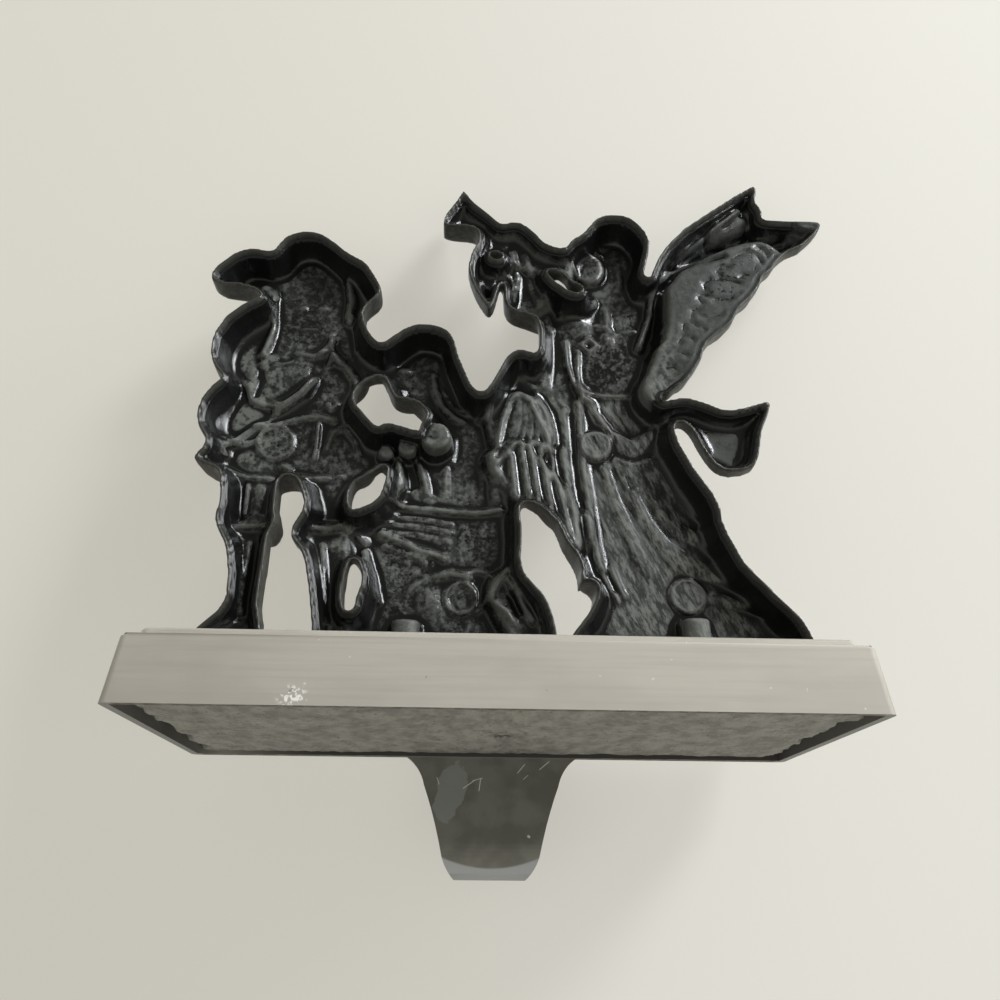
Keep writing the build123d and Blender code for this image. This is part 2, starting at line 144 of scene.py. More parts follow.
def noise(tree, place, scale, detail=4.0, roughness=0.55, stretch=(1.0, 1.0, 1.0), turn=(0.0, 0.0, 0.0)):
    """Noise over object coordinates, per metre, stretched and turned."""
    mapping = add_node(tree, "ShaderNodeMapping", vector_type="TEXTURE")
    mapping.inputs["Scale"].default_value = [1.0 / share for share in stretch]
    mapping.inputs["Rotation"].default_value = turn
    tree.links.new(place, mapping.inputs["Vector"])
    texture = add_node(tree, "ShaderNodeTexNoise", Scale=scale, Detail=detail, Roughness=roughness)
    tree.links.new(mapping.outputs["Vector"], texture.inputs["Vector"])
    return texture.outputs["Fac"]


def split(tree, vector):
    """The X, Y and Z sockets of a vector."""
    axes = add_node(tree, "ShaderNodeSeparateXYZ")
    tree.links.new(vector, axes.inputs[0])
    return axes.outputs["X"], axes.outputs["Y"], axes.outputs["Z"]


def oval(tree, first, second, middle, reach):
    """How far two coordinates lie from an oval's middle, squared: 1 on its edge, sizes in mm."""
    squares = []
    for socket, centre, radius in zip((first, second), middle, reach):
        from_centre = math_node(tree, "SUBTRACT", socket, centre * MM)
        share = math_node(tree, "DIVIDE", from_centre, radius * MM)
        squares.append(product(tree, share, share))
    return math_node(tree, "ADD", *squares)


def add_bump(tree, shader, height, strength, distance):
    """A fine bump from a height socket, for what is too small to model."""
    bump = add_node(tree, "ShaderNodeBump", Strength=strength, Distance=distance)
    tree.links.new(height, bump.inputs["Height"])
    tree.links.new(bump.outputs["Normal"], shader.inputs["Normal"])


PLINTH_COLOUR = (0.335, 0.311, 0.266)
PLINTH_DULL = (0.285, 0.263, 0.224)
BRUSH_MARK = (0.245, 0.228, 0.198)
LIGHT_SPECK = (0.66, 0.65, 0.62)
DARK_SPECK = (0.12, 0.11, 0.09)
RIM_SHADE_DARK = (0.09, 0.085, 0.072)
RIM_SHADE_LIGHT = (0.19, 0.18, 0.155)
RIM_END_TONE = (0.25, 0.25, 0.235)
INNER_WALL_SHADE = (0.045, 0.043, 0.037)
SCUFF = (0.62, 0.61, 0.57)
HOOK_COLOUR = (0.19, 0.186, 0.156)
HOOK_DARK = (0.138, 0.134, 0.11)
HOOK_PATCH = (0.27, 0.273, 0.256)
HOOK_BEND = (0.37, 0.38, 0.375)
HOOK_SIDE_HIGHLIGHT = (0.24, 0.24, 0.22)
HOOK_SCRATCH = (0.60, 0.60, 0.57)
SHARP_ANGLE = math.radians(28)

bm = merged_copy("base")
shade_smooth(bm)
plinth = link_piece(bm, "plinth")

# The platform's back edge is drawn out to the back face, and the round of each
# back corner is laid on that face's draft.
PLATFORM_FOOT = 14.99 * MM
DRAWN_FROM = 33.0 * MM
DRAWN_TO = 35.8 * MM
DRAWN_OVER = 1.84 * MM
DRAWN_BY = 0.78 * MM
CORNER_FROM = 78.85 * MM
CORNER_TO = 78.95 * MM
BACK_FROM = 35.4 * MM
SHOULDER = 14.1 * MM
SHOULDER_Y = 36.392 * MM
SHOULDER_Z = 14.113 * MM
BACK_DRAFT = 0.114
for vert in plinth.data.vertices:
    x, y, z = vert.co
    if z > PLATFORM_FOOT and DRAWN_FROM < y < DRAWN_TO:
        vert.co.y += DRAWN_BY * min(1.0, (y - DRAWN_FROM) / DRAWN_OVER)
    elif CORNER_FROM < abs(x) < CORNER_TO and y > BACK_FROM and z > SHOULDER:
        vert.co.y = SHOULDER_Y - BACK_DRAFT * (z - SHOULDER_Z)
plinth.data.set_sharp_from_angle(angle=SHARP_ANGLE)

plinth_metal, tree, shader, place = new_material("brushed_plate")
across, along, height = split(tree, place)
turned_x, turned_y, turned_z = split(tree, add_node(tree, "ShaderNodeNewGeometry").outputs["Normal"])
brushed = noise(tree, place, 800.0, 3.0, 0.6, (0.03, 1.0, 1.0))
cloudy = noise(tree, place, 34.0, 4.0, 0.6, (0.4, 1.0, 1.0))
specks = noise(tree, place, 520.0, 2.0, 0.5)
plain = mix_colours(tree, ramp(tree, cloudy, 0.38, 0.64), PLINTH_DULL, PLINTH_COLOUR)
plain = mix_colours(tree, ramp(tree, brushed, 0.4, 0.75, 0.0, 0.35), plain, BRUSH_MARK)
plain = mix_colours(tree, ramp(tree, specks, 0.74, 0.80, 0.0, 0.35), plain, LIGHT_SPECK)
plain = mix_colours(tree, ramp(tree, specks, 0.235, 0.20, 0.0, 0.8), plain, DARK_SPECK)

# The down-facing rim is painted darker and mottled, as shade along the back and front, and paler at the
# ends.
at_rim = product(tree, ramp(tree, turned_z, -0.6, -0.85), ramp(tree, height, -0.4 * MM, -0.1 * MM),
                 ramp(tree, height, 0.3 * MM, 0.6 * MM, 1.0, 0.0))
at_ends = ramp(tree, math_node(tree, "ABSOLUTE", across), 79.0 * MM, 80.2 * MM)
rim_shade_mottle = ramp(tree, noise(tree, place, 300.0, 4.0), 0.4, 0.6)
rim_shade = mix_colours(tree, rim_shade_mottle, RIM_SHADE_DARK, RIM_SHADE_LIGHT)
rim_shade = mix_colours(tree, at_ends, rim_shade, RIM_END_TONE)
plain = mix_colours(tree, at_rim, plain, rim_shade)

# The walls of the hollow are painted dark, as shade in the recess.
inner_front = product(tree, ramp(tree, turned_y, 0.7, 0.95), ramp(tree, along, -20.0 * MM, -25.0 * MM),
                      ramp(tree, height, -0.2 * MM, 0.1 * MM))
facing_in = ramp(tree, product(tree, across, turned_x), -0.04, -0.06)
inner_ends = product(tree, math_node(tree, "ABSOLUTE", turned_x), facing_in)
plain = mix_colours(tree, math_node(tree, "MAXIMUM", inner_front, inner_ends), plain, INNER_WALL_SHADE)

# One scuff on the back face, to the left seen from behind.
SCUFF_MIDDLE = (43.3, 2.0)
SCUFF_REACH = (3.4, 2.4)
from_behind = ramp(tree, turned_y, 0.3, 0.7)
scuff_far = oval(tree, across, height, SCUFF_MIDDLE, SCUFF_REACH)
scuff_grain = ramp(tree, noise(tree, place, 1100.0, 4.0), 0.50, 0.60)
scuff = product(tree, ramp(tree, scuff_far, 0.1, 1.3, 1.0, 0.0), from_behind,
                ramp(tree, along, 20.0 * MM, 30.0 * MM), scuff_grain)
plain = mix_colours(tree, scuff, plain, SCUFF)

# The hook is darker, with one bare patch, a few scratches, a paler band along the bend, and painted
# highlight on its side faces.
PATCH_LEAN = 0.2
PATCH_MIDDLE = (9.3, -9.4)
PATCH_REACH = (4.2, 8.2)
BEND_BOW = -15.4
hook_mask = ramp(tree, height, -0.25 * MM, -0.05 * MM, 1.0, 0.0)
hook_cloud = ramp(tree, noise(tree, place, 90.0, 4.0), 0.4, 0.62)
hook_tone = mix_colours(tree, hook_cloud, HOOK_COLOUR, HOOK_DARK)
leaning = math_node(tree, "ADD", across, product(tree, height, PATCH_LEAN))
patch_far = oval(tree, leaning, height, PATCH_MIDDLE, PATCH_REACH)
patch_edge = product(tree, noise(tree, place, 260.0, 3.0), 1.3)
patch_far = math_node(tree, "ADD", patch_far, patch_edge)
patch = product(tree, ramp(tree, patch_far, 1.5, 1.6, 0.75, 0.0), from_behind)
hook_tone = mix_colours(tree, patch, hook_tone, HOOK_PATCH)
bend_line = math_node(tree, "ADD", height, product(tree, across, across, BEND_BOW))
bend_mask = ramp(tree, bend_line, -29.0 * MM, -28.3 * MM, 1.0, 0.0)
hook_tone = mix_colours(tree, bend_mask, hook_tone, HOOK_BEND)
# Painted highlight on the hook's side faces, by which way they face.
side_highlight = ramp(tree, math_node(tree, "ABSOLUTE", turned_x), 0.3, 0.8, 0.0, 0.55)
hook_tone = mix_colours(tree, side_highlight, hook_tone, HOOK_SIDE_HIGHLIGHT)


def scratch_line(x1, z1, x2, z2, width):
    """A mask for one straight scratch on the hook, given by its ends in millimetres."""
    long = math.hypot(x2 - x1, z2 - z1)
    dx, dz = (x2 - x1) / long, (z2 - z1) / long
    from_x = math_node(tree, "SUBTRACT", across, (x1 + x2) / 2 * MM)
    from_z = math_node(tree, "SUBTRACT", height, (z1 + z2) / 2 * MM)
    on = math_node(tree, "ADD", product(tree, from_x, dx), product(tree, from_z, dz))
    off = math_node(tree, "ADD", product(tree, from_x, dz), product(tree, from_z, -dx))
    thin = ramp(tree, math_node(tree, "ABSOLUTE", off), width * 0.5 * MM, width * MM, 1.0, 0.0)
    short = ramp(tree, math_node(tree, "ABSOLUTE", on), long * 0.35 * MM, long * 0.5 * MM, 1.0, 0.0)
    return product(tree, thin, short)


# Each scratch: the x and z of its ends, and its width.
scratches = [
    (8.0, -8.6, 4.2, -6.0, 0.16), (3.4, -9.3, 2.9, -5.4, 0.16), (5.4, -6.4, 2.2, -5.6, 0.11),
    (-7.0, -4.4, -9.4, -1.6, 0.14), (-13.0, -3.4, -16.2, -0.8, 0.16), (-8.6, -6.0, -10.2, -4.6, 0.1),
    (-9.8, -20.4, -10.6, -20.9, 0.4), (15.0, -5.4, 14.2, -7.6, 0.13),
]
for scratch in scratches:
    mark = product(tree, scratch_line(*scratch), from_behind)
    hook_tone = mix_colours(tree, mark, hook_tone, HOOK_SCRATCH)
tree.links.new(mix_colours(tree, hook_mask, plain, hook_tone), shader.inputs["Base Color"])
rough = ramp(tree, cloudy, 0.3, 0.7, 0.66, 0.74)
rough = math_node(tree, "SUBTRACT", rough, product(tree, hook_mask, 0.26))
tree.links.new(rough, shader.inputs["Roughness"])
shader.inputs["Metallic"].default_value = 0.2
add_bump(tree, shader, brushed, 0.12, 0.2 * MM)
plinth.data.materials.append(plinth_metal)
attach(plinth, "root")
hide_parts("base")


# Poured weight in the plinth: a heavy grey filler, rough and mottled, from wall to wall.
# It was poured in from below and has set short of the rim.
FILL_DARK = (0.17, 0.164, 0.138)
FILL_LIGHT = (0.28, 0.27, 0.23)
FILL_GRAIN = (0.36, 0.35, 0.31)
FILL_PORE = (0.06, 0.056, 0.046)
GOUGE_SHADE = (0.03, 0.028, 0.023)
FILL_LEVEL = 0.95
SUNK_LEVEL = 3.6
HIGHEST_LUMP = 0.3
TOP_GAP = 0.2 * MM
DRAFT_AT_TOP = 1.08 * MM
WALL_DRAFT = 0.10
RAGGED_MEAN = 2.4
RAGGED_SWING = 3.0
RAGGED_FADE = 1.4
COARSE_LUMP = 0.30
FINE_LUMP = 0.22
GOUGE_DEPTH = 1.3
GOUGE_REACH = (4.4, 4.0)
GOUGE_MIDDLE = (-1.0, -7.0)
GOUGE_SHADE_REACH = (5.0, 4.4)
fill_low, fill_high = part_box("ballast")
width, depth = fill_high.x - fill_low.x, fill_high.y - fill_low.y
middle = (fill_low + fill_high) / 2
bm = bmesh.new()
bmesh.ops.create_grid(bm, x_segments=220, y_segments=96, size=0.5)
bmesh.ops.scale(bm, vec=(width, depth, 1.0), verts=bm.verts[:])
bmesh.ops.translate(bm, vec=(middle.x, middle.y, fill_low.z), verts=bm.verts[:])
bmesh.ops.reverse_faces(bm, faces=bm.faces[:])
bottom_verts = bm.verts[:]
rim_edges = [e for e in bm.edges if e.is_boundary]
walls = bmesh.ops.extrude_edge_only(bm, edges=rim_edges)["geom"]
top_verts = [g for g in walls if isinstance(g, bmesh.types.BMVert)]
bmesh.ops.translate(bm, vec=(0.0, 0.0, fill_high.z - fill_low.z - TOP_GAP), verts=top_verts)
for vert in top_verts:
    vert.co.x = middle.x + (vert.co.x - middle.x) * (1.0 - 2.0 * DRAFT_AT_TOP / width)
    vert.co.y = middle.y + (vert.co.y - middle.y) * (1.0 - 2.0 * DRAFT_AT_TOP / depth)
bmesh.ops.contextual_create(bm, geom=[e for e in bm.edges if e.is_boundary])
bmesh.ops.recalc_face_normals(bm, faces=bm.faces[:])

# The underside is lumpy, sinks along a ragged line at both ends and has one gouge.
for vert in bottom_verts:
    from_end = (width / 2 - abs(vert.co.x - middle.x)) / MM
    which_end = 3.0 if vert.co.x > 0 else 8.0
    ragged = RAGGED_MEAN + RAGGED_SWING * Noise.noise(Vector((vert.co.y * 130.0, which_end, 0.0)))
    share = min(1.0, max(0.0, (from_end - ragged + RAGGED_FADE / 2) / RAGGED_FADE))
    lumps = COARSE_LUMP * Noise.fractal(vert.co * 70.0, 0.8, 2.0, 4)
    lumps += FINE_LUMP * Noise.noise(vert.co * 420.0)
    from_gouge_x = (vert.co.x / MM - GOUGE_MIDDLE[0]) / GOUGE_REACH[0]
    from_gouge_y = (vert.co.y / MM - GOUGE_MIDDLE[1]) / GOUGE_REACH[1]
    gouge = math.exp(-(from_gouge_x ** 2 + from_gouge_y ** 2))
    level = FILL_LEVEL + 0.9 * lumps + GOUGE_DEPTH * gouge * (1.0 + Noise.noise(vert.co * 700.0))
    sunk = SUNK_LEVEL + 1.2 * lumps
    vert.co.z = max(HIGHEST_LUMP, share * level + (1.0 - share) * sunk) * MM
    spread = 1.0 + 2.0 * max(0.0, fill_low.z - vert.co.z) * WALL_DRAFT / depth
    vert.co.y = middle.y + (vert.co.y - middle.y) * spread
shade_smooth(bm)
fill = link_piece(bm, "poured_weight")

rough_fill, tree, shader, place = new_material("rough_fill")
across, along, _ = split(tree, place)
mottle = noise(tree, place, 230.0, 5.0, 0.62, (1.0, 0.55, 1.0))
grain = noise(tree, place, 900.0, 4.0, 0.6, (1.0, 0.6, 1.0))
tone = mix_colours(tree, ramp(tree, mottle, 0.35, 0.65), FILL_DARK, FILL_LIGHT)
tone = mix_colours(tree, ramp(tree, grain, 0.55, 0.72, 0.0, 0.6), tone, FILL_GRAIN)
tone = mix_colours(tree, ramp(tree, grain, 0.42, 0.30, 0.0, 0.7), tone, FILL_PORE)
# The gouge is painted dark with a ragged edge, as shade in the dent.
gouge_shade_edge = product(tree, noise(tree, place, 420.0, 4.0, 0.65), 2.4)
gouge_shade = math_node(tree, "ADD", oval(tree, across, along, GOUGE_MIDDLE, GOUGE_SHADE_REACH), gouge_shade_edge)
tone = mix_colours(tree, ramp(tree, gouge_shade, 1.2, 1.9, 0.85, 0.0), tone, GOUGE_SHADE)
tree.links.new(tone, shader.inputs["Base Color"])
shader.inputs["Roughness"].default_value = 0.75
add_bump(tree, shader, grain, 0.7, 0.6 * MM)
fill.data.materials.append(rough_fill)
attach(fill, "root")
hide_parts("ballast")


# Figures: one hollow-backed casting in black enamel, about two millimetres thick all over
# and screwed to the platform. A tray is cut from the solid's own walls, and its floor and
# face are then sculpted.
RIM_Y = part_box("figure_group")[1].y
RAY_START = RIM_Y - 0.9 * MM
CUT = 1.8
PLATE = 3.8
GRID = 0.52 * MM
FORWARD = Vector((0.0, -1.0, 0.0))

bm = merged_copy("figure_group")
solid_tree = BVHTree.FromBMesh(bm)


def over_hollow(point):
    """True where the casting lies ahead of a point behind it."""
    start = Vector((point.x, RAY_START, point.z))
    return solid_tree.ray_cast(start, FORWARD)[0] is not None


everything = bm.verts[:] + bm.edges[:] + bm.faces[:]
bmesh.ops.bisect_plane(bm, geom=everything, dist=1e-7, plane_co=(0.0, RIM_Y - CUT * MM, 0.0),
                       plane_no=FORWARD, clear_outer=True)
hollow_edges, outer_edges = [], []
for edge in [e for e in bm.edges if e.is_boundary]:
    spot = (edge.verts[0].co + edge.verts[1].co) / 2 + edge.link_faces[0].normal * 0.4 * MM
    (hollow_edges if over_hollow(spot) else outer_edges).append(edge)
bmesh.ops.triangle_fill(bm, edges=hollow_edges, use_beauty=True, normal=-FORWARD)
pushed = bmesh.ops.extrude_edge_only(bm, edges=outer_edges)["geom"]
pushed_verts = [g for g in pushed if isinstance(g, bmesh.types.BMVert)]
bmesh.ops.translate(bm, vec=(0.0, (CUT - PLATE) * MM, 0.0), verts=pushed_verts)
front_edges = [e for e in bm.edges if e.is_boundary]
bmesh.ops.triangle_fill(bm, edges=front_edges, use_beauty=True, normal=FORWARD)
bmesh.ops.recalc_face_normals(bm, faces=bm.faces[:])
tray = link_piece(bm, "figure_tray")
remesh = tray.modifiers.new("fine_grid", "REMESH")
remesh.mode = "VOXEL"
remesh.voxel_size = GRID
tray_shape = tray.evaluated_get(bpy.context.evaluated_depsgraph_get())
figure_mesh = bpy.data.meshes.new_from_object(tray_shape)
bpy.data.objects.remove(tray)

bm = bmesh.new()
bm.from_mesh(figure_mesh)
for _ in range(4):
    bmesh.ops.smooth_vert(bm, verts=bm.verts[:], factor=0.5, use_axis_x=True, use_axis_z=True)
bm.normal_update()
place_mm = np.array([v.co for v in bm.verts]) / MM
in_hollow = np.array([over_hollow(v.co + v.normal * 0.5 * MM) for v in bm.verts])
X, Z = place_mm[:, 0], place_mm[:, 2]
layer = RIM_Y / MM - place_mm[:, 1]

# Each form: x, z, height over the back and radius, at both ends.
musician = [
    (51, 119, 15, 16, 46, 116, 14, 15), (68, 116, 8.5, 22, 60, 118, 9, 24),
    (40, 114, 9, 22, 46, 116, 9, 24.5), (52, 114, 16.5, 8.5, 51, 104, 15.5, 7),
    (64, 99, 11, 9, 42, 99, 11, 9), (53, 97, 13, 11, 54, 78, 13, 12),
    (67.5, 103, 11.5, 7, 70, 90, 12.5, 6.5), (69, 89, 12.3, 5.5, 57, 95, 13.2, 4.5),
    (69, 77, 11.5, 8, 67, 70, 11, 7), (40, 101, 11.5, 6.5, 40.2, 87, 12, 6),
    (40, 86, 12, 4.8, 49, 93, 13.6, 4.2), (60, 78, 11, 13, 62, 62, 11.5, 14),
    (47, 78, 11, 12, 44, 62, 11.5, 13), (61, 60, 12, 7.4, 60.6, 49, 11.6, 7),
    (59.7, 44, 8.9, 5.4, 59.1, 24, 8.2, 4.5), (59, 21, 8.8, 4.8, 66, 17.4, 6.8, 3.7),
    (43, 60, 12, 7.4, 43.2, 49, 11.6, 7), (42.3, 43.6, 8.9, 5.5, 39.4, 21.4, 8.2, 4.7),
]
kneeler = [
    (21, 95, 15, 12, 17, 92, 14, 11), (25, 91, 13, 7, 24, 84, 11, 5.5), (13, 92, 12.5, 7, 7, 81, 9.6, 6),
    (15, 80, 12, 9, 12, 60, 13, 11), (11, 68, 12, 5, 26, 71, 10.2, 4.8),
    (24, 66, 10.6, 5.5, 24.2, 56, 9.4, 5), (17, 66, 12.5, 5, 17.2, 55, 12, 5.5),
    (31, 48, 12.5, 7.5, 10, 46, 14, 10), (28, 44, 11.5, 7, 27, 24, 10.5, 6),
    (19, 26, 13.5, 9, 6, 30, 12.5, 8.5), (3, 56, 11, 7, 0, 36, 11, 7.2),
    (-2, 32, 7.6, 4.3, -8, 20, 7, 3.8), (24, 22, 11, 6, 8, 20, 11, 6.2),
    (1, 84, 9.4, 5.5, -4, 91, 9.8, 5), (-4.3, 90.6, 9.5, 4.7, -10, 82, 9.2, 5.2),
    (-4, 84, 10, 6.5, -5, 73, 10, 7.5), (-5, 71, 8, 8, -14, 48, 7.6, 7),
]
angel = [
    (13.5, 140, 9.5, 7.5, 2, 131.5, 6.6, 3.7), (1.7, 131.2, 7, 3.9, -17, 122.5, 6.6, 3.5),
    (-2.5, 131, 9.4, 4.6, -5.5, 127, 9.2, 4.2), (6, 125, 8.5, 4.6, 4, 110, 6.2, 3.6),
    (-4, 128, 8, 4.1, -5, 112, 10, 5.5), (-5.3, 111, 10.4, 5.6, -16, 108, 11.6, 6),
    (-9.5, 124, 7.2, 3.6, -11.5, 115, 8.4, 4.2), (-11.9, 114.7, 8.7, 4.5, -20, 109.5, 10, 4.9),
    (-24, 124, 14, 8, -25, 118.5, 12.5, 6.5), (-29, 129, 14, 10.5, -32, 127, 13.5, 9.5),
    (-33, 122, 11, 6, -36, 112, 9, 4.6), (-26, 116, 11.8, 6, -26.2, 109, 12, 6.2),
    (-20, 105, 12.5, 8, -23, 86, 12.5, 8.2), (-30, 105, 13, 8.5, -30.2, 86, 13, 8.7),
    (-22, 80, 13, 8, -34, 78, 12.5, 7.5), (-36, 108, 9.6, 5, -37, 86, 9.3, 5.1),
    (-21, 76, 11, 10, -30, 18, 12, 16), (-28, 76, 11.2, 10.4, -42, 18, 12.4, 16.4),
    (-34, 74, 11, 10.2, -54, 18, 11.5, 17), (-14, 84, 10, 6, -19, 40, 10.5, 6),
    (-41, 78.5, 6.8, 3.8, -48, 79, 6.4, 3.8), (-47.7, 78.7, 6.2, 4, -57, 74, 6.5, 5.1),
    (-57, 73, 6.8, 6.2, -63, 76, 6, 4.2), (-56, 68, 6.2, 5.2, -61, 66, 6, 4),
]
raised_wing = [
    (-40, 112, 8.5, 4.5, -44, 123, 8.4, 4.4), (-43.7, 122.6, 8.2, 4.2, -55, 136, 7.5, 4),
    (-54.6, 135.7, 7.2, 3.8, -68, 147, 6, 3.3), (-47, 126, 7.5, 4.2, -69, 142, 6.5, 3.7),
    (-48, 123, 7.4, 4.1, -79, 136.5, 6.3, 3.6),
]
front_only = [
    (58, 89, 16.5, 9.5, 55, 84, 16, 9), (64, 79, 12, 5, 68, 61, 12, 6),
    (58.5, 79, 12.8, 5, 59.5, 60, 13, 6), (53, 79, 11.4, 5, 51.5, 60, 11.2, 5.5),
    (47, 79, 12.8, 5, 44, 60, 13.2, 6), (42, 79, 11.5, 5, 36, 62, 10.8, 5),
    (65, 46.5, 12.5, 4.2, 56.2, 46.4, 12.5, 4.3), (47, 45.5, 12.5, 4.2, 38.5, 46.5, 12.5, 4.3),
    (-15.5, 80, 11.4, 4.5, -20.5, 38, 12, 4.6), (-19, 78, 12.8, 4.5, -26, 20, 13.5, 5),
    (-23.5, 74, 12.7, 4.5, -33.5, 20, 13.6, 5.5), (-28.5, 72, 13, 4.5, -42, 20, 14.4, 6),
    (-33.5, 72, 13, 4.5, -50.5, 20, 13.3, 6), (-38, 72, 12, 4.5, -58, 22, 12.6, 5.5),
    (-41.5, 68, 10, 4.2, -65, 22, 8.6, 5), (-21, 81, 14.5, 2.8, -27, 74, 15, 2.9),
    (-26.8, 74.3, 14.8, 3.1, -33, 72, 15.2, 3), (-33.2, 72.3, 14.9, 3.2, -40, 78, 13, 2.8),
    (-2, 69, 9.5, 2.9, -3.5, 57, 8.5, 2.7), (-5.2, 70, 9.6, 2.9, -8, 55, 8.5, 2.7),
    (-8.6, 70, 9.7, 2.9, -12, 50, 8.5, 2.7), (-12, 70, 9.6, 2.9, -15.3, 44, 8.5, 2.7),
    (-15.2, 72, 9.5, 2.9, -18, 37, 8.5, 2.7), (-48, 119.5, 7.4, 3.6, -72, 126, 6, 3.2),
    (-48, 115.5, 7.4, 3.6, -68.5, 119.5, 6, 3.2), (-47.5, 111.5, 7.4, 3.6, -64.5, 113.5, 6, 3.2),
    (-46.5, 107.5, 7.4, 3.6, -60, 108, 6, 3.2), (-45.5, 103.5, 7.4, 3.6, -56.5, 103, 6, 3.2),
    (-44, 99.5, 7.4, 3.6, -52, 98, 6, 3.2), (-42.5, 95.5, 7.4, 3.4, -48.5, 92.5, 6, 3.1),
    (-41, 91, 7.4, 3.4, -45, 88, 6, 3.1),
]

# Where the hollow is shallow: x, z, depth and radius, at both ends.
shallow = [
    (-55, 115, 0.5, 9, -69, 124, 0.4, 8), (-49, 99, 0.6, 6, -53, 108, 0.5, 8.5),
    (-46.5, 94, 0.6, 6, -41.5, 85.5, 1.6, 4.6), (-47.5, 103, 0.7, 3.4, -49.5, 114, 0.6, 5.0),
    (-60, 139, 4.6, 5, -80, 140, 3.6, 5), (-85, 141.5, 0.3, 4.5, -90, 142, 0.3, 6),
    (-45, 124, 6.0, 3, -56, 134, 5.0, 4), (-3, 66, 6.4, 5, -15, 48, 5.6, 6),
    (-4, 78, 7.0, 7, -5, 74, 7.0, 7), (-48, 78, 5.2, 5, -60, 74, 5.0, 9),
    (12, 138, 4.4, 6, 3, 131, 4.4, 4), (-1, 130, 4.6, 4, -15, 123, 4.4, 3.4),
    (4, 122, 5.4, 4, -6, 116, 6.4, 5), (60, 44, 6.6, 4, 59, 24, 6.0, 4), (42, 43, 6.6, 4, 40, 24, 6.0, 4),
    (64, 18, 4.6, 4, 58, 18, 5.0, 4), (-3, 31, 5.6, 5, -8, 22, 5.0, 5),
]

# Lines modelled in the hollow, drawn as seen from behind: how far each stands up
# from the floor, its half width, and its points to the right and up.
hat_and_face = [
    (-4.0, 6.0, [(-57, 130), (-47, 127)]), (-2.5, 3.5, [(-68, 122), (-62, 124)]),
    (1.2, 1.0, [(-60, 122), (-57, 126), (-53, 127), (-49, 126), (-45, 122.5)]),
    (-1.0, 0.9, [(-51.5, 112), (-51.5, 108)]), (0.6, 1.1, [(-49.3, 111.2), (-48.1, 111.2)]),
    (0.6, 1.1, [(-54.9, 111.2), (-53.7, 111.2)]), (0.5, 0.5, [(-53.2, 104.6), (-49.8, 104.6)]),
    (1.3, 1.2, [(-43.5, 122), (-41.8, 118), (-41, 113), (-41.5, 109)]),
    (-1.5, 1.4, [(-46, 120), (-45, 114), (-44.5, 109)]),
    (1.2, 1.6, [(-65, 117), (-63, 115), (-59, 110.5)]), (-2.0, 1.8, [(-59, 121), (-58, 115), (-58, 109)]),
    (1.5, 1.5, [(-74, 119.5), (-70, 121), (-68, 122)]),
]
arms_and_bag = [
    (1.3, 0.7, [(-72.3, 90), (-73, 95), (-71.5, 100), (-68, 105), (-66.5, 107)]),
    (1.5, 1.0, [(-66, 108), (-62, 109), (-60.8, 105), (-62, 100), (-63.2, 96)]),
    (-3.0, 1.8, [(-59, 112), (-58, 104), (-57.5, 97)]),
    (1.5, 0.9, [(-69, 69), (-63, 74), (-57, 79.5), (-52, 84), (-48, 90), (-44.5, 95.5)]),
    (1.0, 0.9, [(-44.5, 95.5), (-41, 93), (-38.5, 89), (-38, 86)]),
    (1.0, 0.9, [(-48, 97), (-45, 101), (-42.5, 104), (-40.5, 108)]),
    (0.9, 0.8, [(-66, 90), (-61, 95.5), (-56, 97), (-50, 96), (-46, 97.5), (-43, 94)]),
    (0.9, 4.5, [(-60, 88), (-55, 91)]),
    (1.2, 1.7, [(-66, 86), (-65, 82), (-61, 80), (-56, 81), (-52, 84), (-49, 88)]),
    (-1.6, 0.8, [(-64, 92), (-62.5, 88), (-64, 84)]), (-2.5, 2.2, [(-47, 91), (-46, 86)]),
    (1.4, 0.5, [(-46.6, 87.6), (-46, 86)]), (1.4, 0.5, [(-44.6, 87), (-44, 86)]),
    (0.8, 0.5, [(-44, 83.6), (-42.5, 82), (-44, 80.4), (-45.5, 82), (-44, 83.6)]),
    (0.8, 0.7, [(-45, 98), (-46, 103), (-42, 107), (-38.5, 104), (-38.5, 98), (-42, 95.5), (-45, 98)]),
    (-1.8, 2.4, [(-42, 104), (-41, 98.5)]), (1.2, 2.2, [(-73, 84), (-72.5, 82.5)]),
    (1.0, 1.4, [(-72.5, 79), (-72, 73), (-70.5, 69)]), (-2.8, 1.8, [(-68, 84), (-66, 79.5), (-61, 78)]),
    (0.7, 0.7, [(-70, 71), (-66, 69.5), (-62, 71), (-60, 74)]),
]
